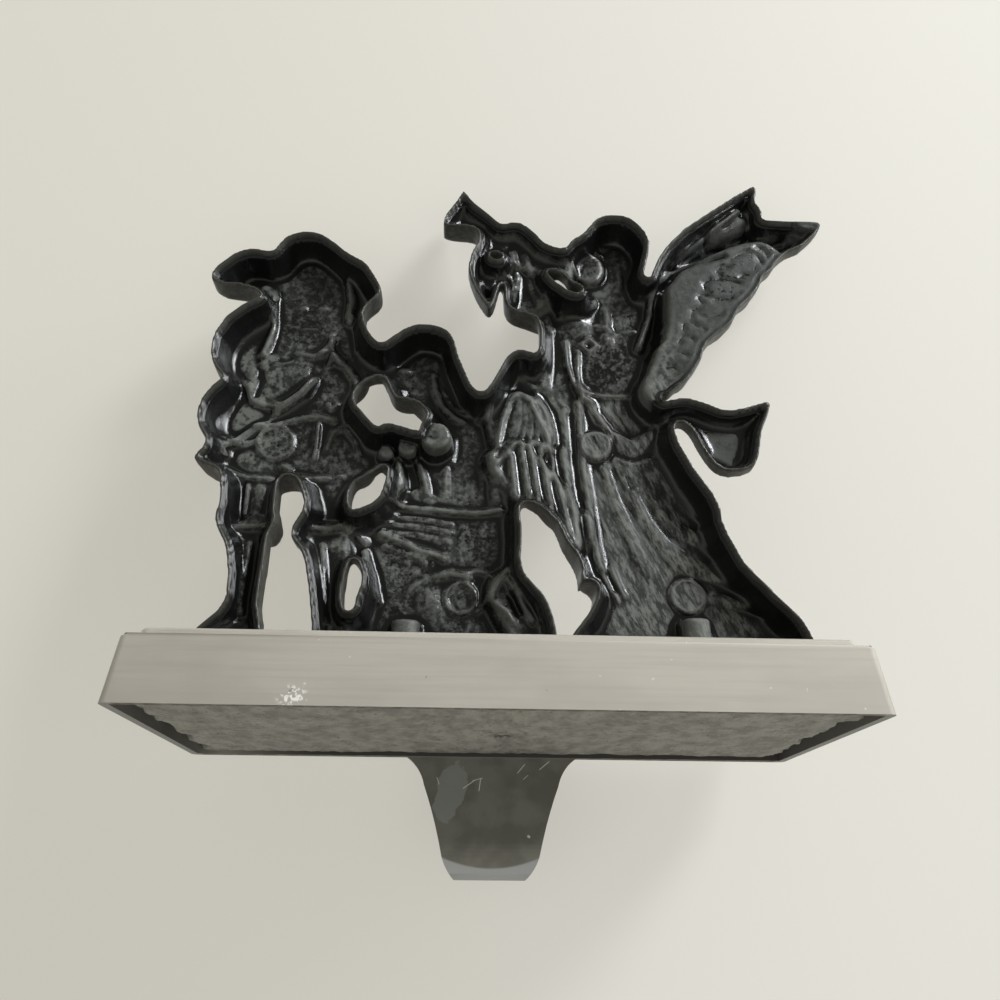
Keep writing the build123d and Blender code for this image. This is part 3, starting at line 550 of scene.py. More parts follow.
tunic_and_legs = [
    (0.8, 0.7, [(-63, 74.5), (-58, 75.5), (-55, 76.5), (-50, 78), (-46, 78), (-43, 77)]),
    (-2.0, 0.6, [(-45.6, 76), (-45.6, 70), (-46, 66), (-44.2, 63.5), (-42.2, 61.5)]),
    (1.2, 0.5, [(-47, 76), (-47, 70), (-47.4, 66)]),
    (0.7, 0.6, [(-44.5, 69), (-43, 74), (-40, 75), (-37, 71), (-36, 66)]),
    (1.0, 0.6, [(-69, 62.5), (-64, 60.5), (-57.5, 60.3)]), (0.9, 0.7, [(-55, 64), (-53, 63)]),
    (1.2, 1.0, [(-71, 69), (-69.5, 66.5)]), (0.9, 0.6, [(-53, 61), (-47, 60.5), (-40, 61.5)]),
    (1.2, 2.0, [(-60, 57), (-60, 51)]), (1.2, 0.8, [(-66.5, 46.5), (-62, 46.2), (-56.5, 46.6)]),
    (-1.2, 0.9, [(-65, 58), (-64.6, 49)]), (0.9, 0.5, [(-63, 58.5), (-63, 50)]),
    (1.1, 0.6, [(-60.3, 42), (-60, 24)]), (-0.8, 0.7, [(-58, 42), (-58, 25)]),
    (1.2, 0.8, [(-47.5, 46.5), (-43, 46), (-38.5, 46.8)]), (0.9, 0.7, [(-46.5, 57), (-46, 49)]),
    (0.9, 0.6, [(-43, 42), (-41, 30), (-40, 22)]), (1.0, 1.0, [(-39, 47), (-36, 45.5), (-33, 44)]),
]
kneeler_head = [
    (-3.5, 4.5, [(-22, 101), (-14, 97), (-9, 87)]),
    (0.9, 1.0, [(-29, 97), (-25, 98.5), (-20, 96), (-17.5, 92)]),
    (0.6, 1.0, [(-26.4, 92.2), (-24.8, 92.4)]), (-0.5, 0.6, [(-27.6, 94.2), (-26, 95), (-24, 94.6)]),
    (0.5, 0.5, [(-28, 86.2), (-25.4, 86.4)]), (-0.4, 1.4, [(-24, 88), (-23, 88.5)]),
    (1.2, 0.9, [(-18, 91), (-17.5, 87), (-15.5, 82), (-12, 78.5), (-8, 77), (-4, 78.5)]),
    (0.9, 0.6, [(-16, 91), (-15, 86), (-12.5, 82), (-9, 80)]),
]
kneeler_body = [
    (2.2, 1.3, [(-26.2, 66), (-24.6, 60), (-26, 55.5), (-29, 52.5)]),
    (1.3, 0.9, [(-21, 65.5), (-19.5, 61.5), (-18.8, 58.5)]),
    (0.6, 1.2, [(-12.2, 72), (-12.6, 68), (-13.6, 64), (-14, 57)]), (0.6, 1.8, [(-23.5, 58), (-18, 56)]),
    (-1.2, 0.9, [(-23.5, 65), (-22.8, 59)]), (-1.0, 0.8, [(-17.3, 64), (-16.4, 58)]),
    (-2.0, 2.4, [(-8, 76), (-8, 69)]), (1.3, 2.0, [(-3.6, 67), (-2.6, 61), (-1, 56)]),
    (-0.7, 0.6, [(-12.8, 65), (-12.5, 58)]), (-0.7, 0.6, [(-9.5, 64), (-8.8, 56)]),
    (-0.7, 0.6, [(-6.6, 63), (-6, 56)]), (-0.6, 0.6, [(-3.6, 61), (-3.4, 55)]),
    (1.2, 0.8, [(-37, 46.5), (-33, 47), (-29.5, 51), (-27, 53.8), (-20, 52.8), (-12, 52.3), (-6, 52),
                (0, 53)]), (-0.9, 0.5, [(-14, 51), (-8, 50.6), (-1, 51.4)]),
    (0.6, 0.5, [(-28, 51), (-18, 50.3), (-12, 49.2)]), (0.6, 0.5, [(-28, 49), (-19, 48.3), (-12, 47)]),
    (0.6, 0.5, [(-27, 46.8), (-19, 46), (-13, 44.6)]), (-2.6, 1.2, [(-9.6, 49.5), (-9.2, 45)]),
    (1.2, 1.2, [(-29, 46), (-25, 44.4), (-20, 42), (-14, 40)]),
    (0.9, 0.7, [(-28, 43), (-23, 41), (-16, 38.6)]), (0.7, 0.6, [(-27, 40.5), (-22, 39)]),
    (-2.5, 1.7, [(-25, 35.5), (-20, 36.5), (-16.5, 38)]), (1.8, 0.4, [(-19.7, 36), (-19.2, 38.5)]),
    (1.8, 0.4, [(-18.2, 36.3), (-17.8, 38.8)]), (1.8, 0.4, [(-16.8, 37), (-16.3, 39)]),
    (-2.2, 2.6, [(-28, 37), (-25, 30), (-27, 25)]),
    (1.4, 0.9, [(-33, 41), (-31.5, 36), (-30.5, 31), (-32, 26)]),
    (1.2, 0.7, [(-30, 31), (-27.5, 27), (-26.5, 24)]),
    (1.1, 1.1, [(-25, 27), (-22, 32), (-18, 35.6), (-12, 36.2), (-8, 35.4)]),
    (1.0, 2.6, [(-17, 30), (-16, 27)]), (0.8, 0.5, [(-8, 36.6), (-5, 37.2), (-2.6, 36)]),
    (0.9, 0.6, [(-5.5, 27), (-3, 30), (0, 34), (1.5, 37)]),
    (1.1, 0.7, [(1.5, 34), (4, 30), (5.5, 27), (7.5, 23.5)]),
    (1.2, 0.6, [(5.5, 33), (8, 28.5), (9.5, 24)]), (1.0, 0.6, [(-1, 28), (1.5, 26), (3, 23.5)]),
    (-1.2, 0.9, [(2.6, 30), (4.4, 26)]), (-0.5, 0.5, [(-6, 48), (-5.2, 41)]),
    (-0.5, 0.5, [(-2.5, 49), (-2, 43)]),
]
folded_wing_lines = [
    (1.3, 1.0, [(-3, 80), (0, 86), (3, 92), (4.5, 95)]),
    (1.1, 0.8, [(-1, 70), (0, 77), (2, 83), (4.5, 86), (7.5, 83.5), (10.5, 76), (12.5, 71)]),
    (0.8, 0.8, [(5, 92), (8.5, 88), (12, 80), (14, 72)]), (0.4, 0.45, [(1, 68.5), (3, 76), (4.5, 84)]),
    (0.4, 0.45, [(2.8, 69.5), (4.6, 78), (5, 84)]), (0.4, 0.45, [(4.8, 70.5), (6.3, 78), (5.8, 84)]),
    (0.4, 0.45, [(7, 71), (7.8, 78), (6.4, 83.5)]), (0.4, 0.45, [(9, 71), (9.3, 77), (7.5, 82)]),
    (1.1, 0.7, [(-1, 65), (1, 67.5), (3, 70), (4.5, 70.8), (6.5, 70), (8, 71), (10, 70.3), (13, 69.5)]),
    (1.4, 0.75, [(2.4, 67), (3.4, 56)]), (1.4, 0.75, [(5, 69), (6, 62), (7, 55)]),
    (1.4, 0.75, [(7.3, 69.5), (8.4, 60), (9.5, 53)]), (1.4, 0.75, [(10, 69), (11.5, 58), (13, 49)]),
    (1.4, 0.75, [(12.8, 69), (14.5, 57), (17, 45)]), (1.4, 0.75, [(15.5, 70), (17, 57), (19.3, 40)]),
]
angel_head = [
    (-3.5, 4.5, [(31, 141), (37, 137), (39, 128)]), (-1.5, 1.6, [(27.5, 124), (29.5, 129)]),
    (0.9, 0.5, [(19.5, 128), (21.5, 132), (25, 133.5), (28.5, 131)]),
    (0.9, 0.9, [(27.5, 134), (31, 135.5), (35, 131.5), (36, 127)]), (-1.2, 0.6, [(30, 131), (31, 122)]),
    (1.0, 1.0, [(31.5, 133), (33, 127), (32.5, 121)]), (-0.4, 1.4, [(21.6, 121.8), (22.6, 122.2)]),
    (-2.5, 2.2, [(26, 119), (30, 117), (34, 118), (39, 120)]),
    (0.9, 1.2, [(18, 116), (21, 113.5), (24, 116)]),
    (1.4, 1.9, [(12, 114), (12, 105), (11.6, 96), (10.6, 89)]),
    (0.9, 0.9, [(2.5, 128), (4, 121), (3, 113)]), (0.8, 0.8, [(6, 127), (8, 118), (10, 113)]),
]
angel_bodice = [
    (0.8, 2.4, [(19, 108.2), (21.5, 108.2)]),
    (1.2, 0.7, [(15.5, 111), (19, 111.3), (23, 112), (25.3, 114.5), (26, 118)]),
    (0.7, 1.4, [(28.5, 117), (28.5, 110), (28.5, 104)]),
    (0.9, 0.5, [(23.5, 104.2), (25.7, 102), (23.5, 99.8), (21.3, 102), (23.5, 104.2)]),
    (1.0, 0.6, [(17, 103), (17.5, 96), (19, 90), (21.5, 85), (23.5, 84)]),
    (0.8, 0.5, [(20.5, 100), (20.2, 93), (21, 87.5), (27, 86.5), (34, 86.5)]),
    (-0.3, 0.8, [(25, 99), (25, 88)]), (-0.3, 0.8, [(29, 100), (29.5, 88)]),
    (-0.3, 0.8, [(33, 100), (34, 88)]),
    (2.4, 0.9, [(42.6, 119.5), (40.8, 116), (40.4, 111), (38.6, 106), (36.8, 101)]),
    (-1.4, 1.1, [(14.8, 104), (14.8, 94), (15.6, 86)]), (-1.2, 1.0, [(31.5, 112.5), (31.5, 107)]),
    (-1.0, 0.8, [(36.8, 99), (37, 91)]), (0.9, 0.6, [(41, 103), (44.5, 105), (46, 109)]),
    (0.6, 0.7, [(26, 108), (31, 106), (36, 107)]), (-0.8, 0.8, [(31, 112), (33, 108)]),
]
raised_wing_lines = [
    (2.4, 0.7, [(48, 126.5), (52, 131), (57, 135.5), (62, 139.8), (66.5, 144)]),
    (1.2, 1.7, [(58, 136), (63, 137.5), (67, 141)]), (1.0, 1.6, [(60, 139), (65, 142)]),
    (-0.9, 0.6, [(56.6, 133), (56.4, 136), (58, 139)]), (-1.2, 0.6, [(70, 139), (69.4, 143)]),
    (-2.5, 1.4, [(46.5, 126), (51, 128.5), (57, 131), (63, 134), (70, 137.5), (79, 141)]),
    (-3.0, 2.3, [(71, 138), (79, 139)]), (-2.0, 1.0, [(60, 130.5), (66, 132.5), (73, 134), (79, 135)]),
    (1.8, 1.3, [(42, 116), (43.5, 120), (46, 123.5), (51, 126), (57, 128), (61, 128.7)]),
    (-1.2, 0.8, [(44.5, 118), (47, 121.5), (52, 124), (58, 126), (60.5, 126.9)]),
    (-0.4, 0.8, [(58.5, 120.3), (57.8, 121.7), (59, 123), (61.5, 123.2)]),
    (-0.35, 0.8, [(64.5, 120.5), (67.5, 120.7), (70, 122.3)]),
    (-0.4, 0.8, [(54.3, 115.6), (54.3, 117.6), (56, 118.8), (60, 118.8), (64, 118)]),
    (-0.4, 0.8, [(53.2, 111), (52.2, 112.7), (53.2, 114), (55, 113.4)]),
    (-0.35, 0.8, [(56.5, 112.3), (60, 112.5), (63, 113.5)]),
    (-0.4, 0.8, [(50, 106.5), (50.2, 108.5), (52, 109.6)]),
    (-0.35, 0.8, [(52, 107.2), (54, 106.5), (57.5, 107.3), (60, 108.5)]),
    (-0.4, 0.8, [(47.5, 102.5), (47.6, 104.3), (49.2, 105.2), (51.4, 103.8)]),
    (-0.35, 0.8, [(53, 103.3), (53.8, 101.8), (55.5, 103)]),
    (-0.35, 0.8, [(46, 98.5), (47, 100.5), (49.5, 100.3), (51, 98.5)]),
    (-0.35, 0.8, [(62, 125.6), (66, 128.3), (69.3, 127.6), (70.5, 125)]),
    (-0.35, 0.8, [(70, 130), (71.5, 128.8), (73, 127)]), (-0.35, 0.8, [(45, 95), (47, 95.4), (48.5, 94)]),
    (-0.35, 0.8, [(42.5, 91), (44.5, 91.2), (46, 89.6)]),
]
gown_lines = [
    (1.4, 1.5, [(21, 88), (24, 82), (27.5, 77.2)]),
    (1.2, 2.2, [(29, 74.5), (33.5, 71.5), (38, 74), (42, 79)]),
    (-1.2, 0.8, [(26, 82), (29.5, 77), (34, 75), (38, 77.3), (41, 80.5)]),
    (-0.9, 0.7, [(29, 69.4), (34, 67.8), (38.5, 69.6)]),
    (0.8, 0.6, [(29.5, 68.2), (34, 66.6), (38.5, 68.3)]),
    (1.5, 1.2, [(20.3, 84), (20.4, 72), (21, 64), (22.2, 54), (23.4, 44), (24.5, 38)]),
    (-1.6, 0.8, [(18.2, 80), (18.6, 68), (19.8, 55), (20.8, 44)]),
    (1.0, 1.2, [(16.5, 82), (17, 70), (18, 58)]),
    (-1.3, 0.8, [(24.4, 66), (26, 58.5), (28, 51), (30.4, 43), (33.3, 36), (36.5, 30)]),
    (0.8, 1.7, [(26.3, 65), (28, 58), (30.5, 50.5), (33.5, 43), (36.5, 37.5)]),
    (-1.2, 0.7, [(28.6, 65), (31, 57), (34, 50), (37.8, 43.5), (41, 39.5)]),
    (0.7, 2.2, [(31.4, 65), (34, 57), (37.5, 49.5), (42, 43.5), (46, 40)]),
    (-0.9, 0.5, [(31.8, 63.4), (33, 60)]), (-0.9, 0.6, [(37.4, 63), (38.6, 60.5)]),
    (-1.4, 0.9, [(36, 58), (38.6, 52), (42, 47), (46, 44.4), (51, 42), (55, 40.8)]),
    (0.7, 2.0, [(39, 56), (41.5, 51.5), (45, 48.4), (50, 46), (55, 44)]),
    (-1.7, 1.0, [(40, 59), (42, 55), (45, 52.2), (49, 50.6), (53.5, 50)]),
    (0.7, 2.4, [(40.5, 67), (43.5, 61), (47, 56.4), (51.5, 53.4)]),
    (0.7, 2.0, [(43, 40), (48, 38), (54, 36), (60, 34.4)]),
    (-1.0, 0.8, [(48.5, 35.6), (55, 33.6), (62, 31.6), (68, 30.6)]),
    (0.8, 1.4, [(52, 31.4), (59, 29.6), (66, 28.4)]), (-0.8, 0.7, [(51, 29.2), (57, 28), (64, 27)]),
    (1.3, 0.6, [(25, 38), (26.5, 34), (28.6, 30)]), (1.2, 0.6, [(27.2, 38.6), (28.6, 34.5), (30.2, 31)]),
    (-1.0, 0.6, [(26, 37), (27.6, 33)]), (1.2, 1.0, [(19, 23), (22, 28), (24.5, 31)]),
    (-2.2, 2.4, [(43.5, 76), (47, 66), (52, 57), (55.5, 50)]),
    (-1.8, 2.2, [(56, 47), (59, 41.5), (64, 36), (70, 30)]),
    (0.5, 0.9, [(48, 80.5), (55, 78), (61, 78.4), (66, 80)]),
]
cloth_lines = hat_and_face + arms_and_bag + tunic_and_legs + kneeler_head + kneeler_body + angel_bodice
wing_and_gown_lines = folded_wing_lines + angel_head + raised_wing_lines + gown_lines

# Lines on the face of the casting: how far each stands up, its half width, and its
# points across and up. The faces are plain ones of the maker's own.
musician_front = [
    (1.2, 1.0, [(69, 117.5), (62, 116.5), (55, 119), (47, 118.7), (40, 114.5), (36.5, 113)]),
    (-0.8, 0.7, [(63, 122), (55, 124.5), (47, 123.5), (41, 119)]),
    (-0.6, 0.5, [(64, 122.5), (70, 124.5), (75, 122)]), (-0.6, 0.5, [(66, 120), (71, 121), (75.5, 119)]),
    (-0.5, 0.5, [(56, 128.5), (50, 130.5), (44, 126.5)]),
    (-0.7, 0.6, [(58.8, 116), (60, 110), (59.5, 103)]), (-0.7, 0.6, [(61.8, 115), (63, 110), (62, 105)]),
    (-0.7, 0.6, [(44.6, 116), (43.4, 110), (44, 103)]),
    (-0.7, 0.6, [(41.6, 114), (40.4, 109), (41, 104)]), (1.0, 0.7, [(51.5, 112), (51.5, 107.8)]),
    (0.6, 0.8, [(50.9, 107.5), (52.1, 107.5)]), (-0.9, 1.2, [(48.1, 111.2), (49.3, 111.2)]),
    (-0.9, 1.2, [(53.7, 111.2), (54.9, 111.2)]),
    (0.7, 0.5, [(47.6, 110.9), (48.7, 111.5), (49.8, 110.9)]),
    (0.7, 0.5, [(53.2, 110.9), (54.3, 111.5), (55.4, 110.9)]),
    (0.5, 0.6, [(47, 113.6), (48.8, 114.1), (50.2, 113.4)]),
    (0.5, 0.6, [(52.8, 113.4), (54.2, 114.1), (56, 113.6)]),
    (-0.7, 0.45, [(49.8, 104.6), (51.5, 104.3), (53.2, 104.6)]),
    (0.5, 0.6, [(50.5, 103.5), (52.5, 103.5)]), (0.9, 0.9, [(44.5, 99), (51.5, 96.5), (58.5, 99)]),
    (-0.7, 0.6, [(46, 97), (51.5, 94.5), (57, 97)]), (1.0, 0.8, [(66, 91), (69.5, 89), (73, 91)]),
    (-0.6, 0.6, [(65, 101), (69, 97), (72.5, 97.5)]), (-0.6, 0.6, [(64, 105.5), (67, 102), (71, 102.5)]),
    (0.9, 0.8, [(37.5, 88.5), (41, 87), (44, 89)]), (-0.6, 0.6, [(37, 96), (41, 94.5), (44.5, 97)]),
    (0.9, 0.9, [(41.5, 78.5), (52, 76.8), (63, 78.5)]), (-0.7, 0.6, [(42, 76), (52, 74.5), (63, 76)]),
    (0.8, 0.7, [(36.5, 63), (44, 61), (53, 61.5), (62, 61), (70, 63.5)]),
    (-0.7, 0.7, [(59.5, 58), (59.3, 50)]), (-0.7, 0.7, [(44.5, 58), (44.5, 50)]),
    (0.8, 0.7, [(54.6, 29.5), (59, 28.8), (63.4, 29.5)]),
    (0.8, 0.7, [(35.5, 28.5), (40, 27.6), (44.5, 28.5)]), (-0.6, 0.5, [(56, 22), (60, 21), (64, 19)]),
    (1.3, 1.0, [(52, 92.5), (47, 99), (43.5, 105)]), (-0.8, 0.6, [(66, 86), (60, 84.5), (53, 80.5)]),
    (-0.8, 0.6, [(64.5, 93), (58, 92.5), (51.5, 88.5)]),
]
kneeler_front = [
    (-0.8, 1.0, [(24.8, 92.4), (26.4, 92.2)]), (0.6, 0.5, [(24.4, 92), (25.6, 92.4), (26.8, 91.9)]),
    (0.5, 0.6, [(24, 94.6), (26, 95), (27.6, 94.2)]), (-0.6, 0.45, [(25.4, 86.4), (28, 86.2)]),
    (0.4, 1.4, [(23, 88.5), (24, 88)]),
    (0.9, 0.9, [(28, 99), (23.5, 97.5), (21, 93), (20.5, 88), (18, 83.5)]),
    (-0.7, 0.55, [(25, 103), (18, 99), (14.8, 92), (11, 84)]),
    (-0.7, 0.55, [(20, 104.5), (13.5, 99), (10.5, 92), (7.5, 83)]),
    (-0.7, 0.55, [(27, 101), (20.5, 96.5), (17.4, 90), (14.4, 83)]),
    (-0.6, 0.6, [(10, 73), (18, 69.5), (26, 70)]), (-0.6, 0.6, [(9, 68), (15, 65.5), (21, 66)]),
    (0.9, 0.7, [(25, 67), (27.5, 74)]), (0.9, 0.8, [(-1, 54), (8, 52.5), (18, 52), (26, 53)]),
    (-0.8, 0.7, [(29, 50), (14, 45), (4, 43.5)]), (-0.8, 0.7, [(29, 45), (26, 33), (26.5, 22)]),
    (-0.7, 0.7, [(12, 40), (4, 36), (-1, 30)]), (-0.7, 0.7, [(21, 34), (11, 33), (3, 28)]),
    (-0.6, 0.6, [(24, 26), (14, 24), (5, 21)]), (0.8, 0.7, [(30.5, 39), (27, 37.5), (23, 39)]),
    (-0.6, 0.5, [(0.5, 85), (-3, 81), (-7, 80.5), (-11, 83)]),
    (-0.6, 0.5, [(1, 80), (-3, 76), (-8, 75.5), (-12, 78)]),
    (-0.7, 0.5, [(1, 73.5), (-3, 71.5), (-6, 72.5), (-9, 71.5), (-12, 72.8), (-15.5, 71.5)]),
]
angel_front = [
    (-0.8, 1.0, [(-22.6, 126.2), (-21, 126)]), (0.6, 0.5, [(-23, 125.8), (-21.8, 126.3), (-20.6, 125.8)]),
    (0.5, 0.6, [(-23.4, 128.4), (-21.6, 128.8), (-20, 128)]),
    (0.4, 1.4, [(-22.6, 122.2), (-21.6, 121.8)]),
    (0.9, 0.9, [(-19.5, 131.5), (-24, 131), (-26, 126.5), (-26.5, 121.5), (-28.5, 116.5)]),
    (-0.7, 0.55, [(-24, 135.5), (-29, 130), (-30.5, 123), (-33, 116), (-35.5, 111)]),
    (-0.7, 0.55, [(-28, 138), (-33.5, 131), (-34.5, 124), (-36, 117)]),
    (-0.7, 0.55, [(-33, 137), (-37.5, 130), (-38, 124), (-38, 118)]),
    (0.9, 0.7, [(-19.5, 133.6), (-26, 135), (-33, 133.5), (-39, 129)]),
    (0.8, 0.8, [(-16, 113.5), (-22, 110), (-29, 110.5), (-34, 114)]),
    (-0.7, 0.6, [(-17, 106), (-23, 103.5), (-30, 104)]), (-0.6, 0.7, [(-20, 101), (-22.5, 90)]),
    (-0.6, 0.7, [(-29, 102), (-29, 90)]), (1.0, 0.9, [(-14.5, 85), (-22, 82), (-32, 81), (-39.5, 83.5)]),
    (0.9, 0.8, [(-15.5, 26), (-24, 20.5), (-45, 19.5), (-68, 21)]),
    (-0.6, 0.6, [(-13, 123), (-9.5, 117), (-4, 115)]),
    (-0.6, 0.6, [(-16, 118), (-11.5, 112.5), (-6, 109.5)]), (-0.6, 0.6, [(3, 126), (1, 119), (2, 112)]),
    (0.9, 0.6, [(15.5, 133.8), (9.8, 142.5)]), (0.7, 0.6, [(4.4, 129.3), (1.6, 133.8)]),
    (0.7, 0.6, [(-10.4, 124), (-11.8, 127)]), (-0.6, 0.5, [(-44, 121), (-55, 133.5), (-67, 144.5)]),
    (-0.6, 0.5, [(-46, 124), (-57, 131), (-75, 137.5)]), (-0.5, 0.5, [(-48, 78), (-56, 73), (-62, 74.5)]),
    (-0.5, 0.5, [(-53, 71), (-58, 68.5), (-62, 69)]),
]
face_lines = musician_front + kneeler_front + angel_front

# Ejector pads: to the right, up, radius, how far the face stands up, and its ring.
pads = [
    (-57.5, 70.5, 4.6, 0.5, 0.55), (24.3, 71.6, 3.9, 1.4, 0.4), (45.5, 31.8, 4.0, 0.6, 0.8),
    (-9.4, 30.2, 3.75, 0.35, 0.95), (24.0, 126.0, 4.6, 2.0, 0.4),
]
# Posts: to the right, up, radius and the depth of the top.
posts = [
    (-16.6, 70.4, 3.85, 2.0), (-23.6, 68.2, 2.4, 4.2), (-29.1, 66.8, 1.8, 5.0),
]
# Screw bosses: x, and the height of the top.
bosses = [(-46.0, 24.8), (22.0, 23.5)]


def smooth_max(first, second, blend):
    """The larger of two heights, with the crease between them rounded."""
    near = np.maximum(blend - np.abs(first - second), 0.0) / blend
    return np.maximum(first, second) + near * near * blend / 4


def segment(x1, z1, x2, z2):
    """How far each point is from a line, and how far along it lies."""
    run = (x2 - x1, z2 - z1)
    along = (X - x1) * run[0] + (Z - z1) * run[1]
    share = np.clip(along / (run[0] ** 2 + run[1] ** 2), 0.0, 1.0)
    return np.hypot(X - x1 - run[0] * share, Z - z1 - run[1] * share), share


def add_forms(height, forms, blend):
    """Raises a height field by round forms."""
    for x1, z1, top1, r1, x2, z2, top2, r2 in forms:
        away, share = segment(x1, z1, x2, z2)
        radius = r1 + (r2 - r1) * share
        top = top1 + (top2 - top1) * share
        gap = radius ** 2 - away ** 2
        dome = np.where(gap > 0, top - radius + np.sqrt(np.maximum(gap, 0.0)), NO_FORM)
        height = smooth_max(height, dome, blend)
    return height


def line_weight(points, width, side):
    """How near each point of the casting is to a drawn line: 1 on it. The side is
    1 for a line drawn from the front, and -1 from behind."""
    nearest = np.full(len(X), FAR_AWAY)
    for (x1, z1), (x2, z2) in zip(points, points[1:]):
        nearest = np.minimum(nearest, segment(side * x1, z1, side * x2, z2)[0])
    return np.exp(-(nearest / width) ** 2)


def evened(values, times):
    """Values over the casting, each averaged with its neighbours."""
    for _ in range(times):
        values = (np.bincount(ends[:, 0], values[ends[:, 1]], len(values))
                  + np.bincount(ends[:, 1], values[ends[:, 0]], len(values))) / beside
    return values


# How far each point lies inside the outer wall, as seen from behind.
WALL_FROM = 0.5
WALL_TO = 3.3
AT_WALL = 0.7
wall_spots = np.flatnonzero(~in_hollow & (layer > WALL_FROM) & (layer < WALL_TO))
wall_tree = KDTree(len(wall_spots))
for index in wall_spots:
    wall_tree.insert((X[index], 0.0, Z[index]), int(index))
wall_tree.balance()
from_wall = np.array([wall_tree.find((x, 0.0, z))[2] for x, z in zip(X, Z)])
bm.verts.index_update()
ends = np.array([(e.verts[0].index, e.verts[1].index) for e in bm.edges])
beside = np.bincount(ends.ravel(), minlength=len(X))
from_wall = np.where(from_wall > AT_WALL, evened(from_wall, 3), from_wall)

# The floor of the hollow: as deep as the shallow places let it be, rounded up to
# the wall, with the drawn lines, the pads, the posts and the bosses standing on it.
NO_FORM = -10.0
FAR_AWAY = 1e3
WALL = 1.5
FLOOR = 9.3
WALL_ROUND = 0.85
SHALLOW_FADE = 3.0
CLOTH_RELIEF = 1.3
RIDGE_RELIEF = 0.85
GROOVE_RELIEF = 1.1
LINE_FADE = 2.0
PAD_MARGIN = 1.0
PAD_FADE = 1.5
LINE_LEFT_ON_PAD = 0.1
PAD_EDGE = 0.4
PAD_SLOPE = 0.5
RING_WIDTH = 0.42
POST_DRAFT = 0.6
BOSS_AXIS = 5.5
BOSS_RADIUS = 3.5
LEAST_DEPTH = 1.5
limit = np.full(len(X), FLOOR)
for x1, z1, deep1, r1, x2, z2, deep2, r2 in shallow:
    away, share = segment(x1, z1, x2, z2)
    deep = deep1 + (deep2 - deep1) * share
    fade = np.clip((away - (r1 + (r2 - r1) * share)) / SHALLOW_FADE, 0.0, 1.0)
    limit = np.minimum(limit, deep + (FLOOR - deep) * fade * fade * (3.0 - 2.0 * fade))
floor_depth = limit * (1.0 - np.exp(-np.maximum(from_wall - WALL, 0.0) / WALL_ROUND))
bulges = 0.0
for amount, width, points in cloth_lines:
    bulges = bulges + CLOTH_RELIEF * amount * line_weight(points, width, -1)
for amount, width, points in wing_and_gown_lines:
    relief = RIDGE_RELIEF if amount > 0 else GROOVE_RELIEF
    bulges = bulges + relief * amount * line_weight(points, width, -1)
for u, z, radius, _, _ in pads:
    off_pad = (np.hypot(X + u, Z - z) - radius + PAD_MARGIN) / PAD_FADE
    bulges = bulges * np.clip(off_pad, LINE_LEFT_ON_PAD, 1.0)
floor_depth = floor_depth - bulges * np.clip((from_wall - WALL) / LINE_FADE, 0.0, 1.0)
for u, z, radius, rise, ring in pads:
    away = np.hypot(X + u, Z - z)
    floor_depth -= rise * np.clip((radius + PAD_EDGE - away) / PAD_SLOPE, 0.0, 1.0)
    floor_depth -= ring * np.exp(-((away - radius) / RING_WIDTH) ** 2)
for u, z, radius, top in posts:
    side = np.clip((np.hypot(X + u, Z - z) - radius) / POST_DRAFT, 0.0, 1.0)
    floor_depth = np.minimum(floor_depth, top + (FLOOR - top) * side)
for boss_x, boss_top in bosses:
    across = np.abs(X - boss_x)
    boss = BOSS_AXIS - np.sqrt(np.maximum(BOSS_RADIUS ** 2 - across ** 2, 0.0))
    on_boss = (across < BOSS_RADIUS) & (Z < boss_top)
    floor_depth = np.where(on_boss, np.minimum(floor_depth, boss), floor_depth)
floor_depth = np.maximum(floor_depth, np.minimum(limit, LEAST_DEPTH))

# The face: the round forms and the drawn lines over a plain edge, and always a wall
# of metal over the floor of the hollow.
FACE_EDGE = 4.3
FORM_BLEND = 0.5
METAL = 1.6
METAL_BLEND = 1.5
LEAST_METAL = 1.0
PLAIN_EDGE = 0.5
front_forms = musician + kneeler + angel + raised_wing + front_only
face_height = add_forms(np.full(len(X), FACE_EDGE), front_forms, FORM_BLEND)
face_height = smooth_max(face_height, floor_depth + METAL, METAL_BLEND)
off_edge = np.clip(from_wall - PLAIN_EDGE, 0.0, 1.0)
for amount, width, points in face_lines:
    face_height = face_height + amount * line_weight(points, width, 1) * off_edge
face_height = np.maximum(face_height, floor_depth + LEAST_METAL)

# The rim is thin, and the wall drops from it steeply.
RIM = 0.8
RIM_ROUND = 1.1
RIM_LAYER = 1.4
HOLLOW_LAYER = 2.6
SMOOTHED_FROM = 0.3
WALL_REACH = 3.2
behind = in_hollow & (layer < HOLLOW_LAYER)
drop = np.minimum(floor_depth, FLOOR * (1.0 - np.exp(-np.maximum(from_wall - RIM, 0.0) / RIM_ROUND)))
depth_now = np.where(behind, np.clip(layer / CUT, 0.0, 1.0) * floor_depth,
                     np.clip(layer / PLATE, 0.0, 1.0) * face_height)
depth_now = np.where(layer < RIM_LAYER, np.maximum(depth_now, drop), depth_now)

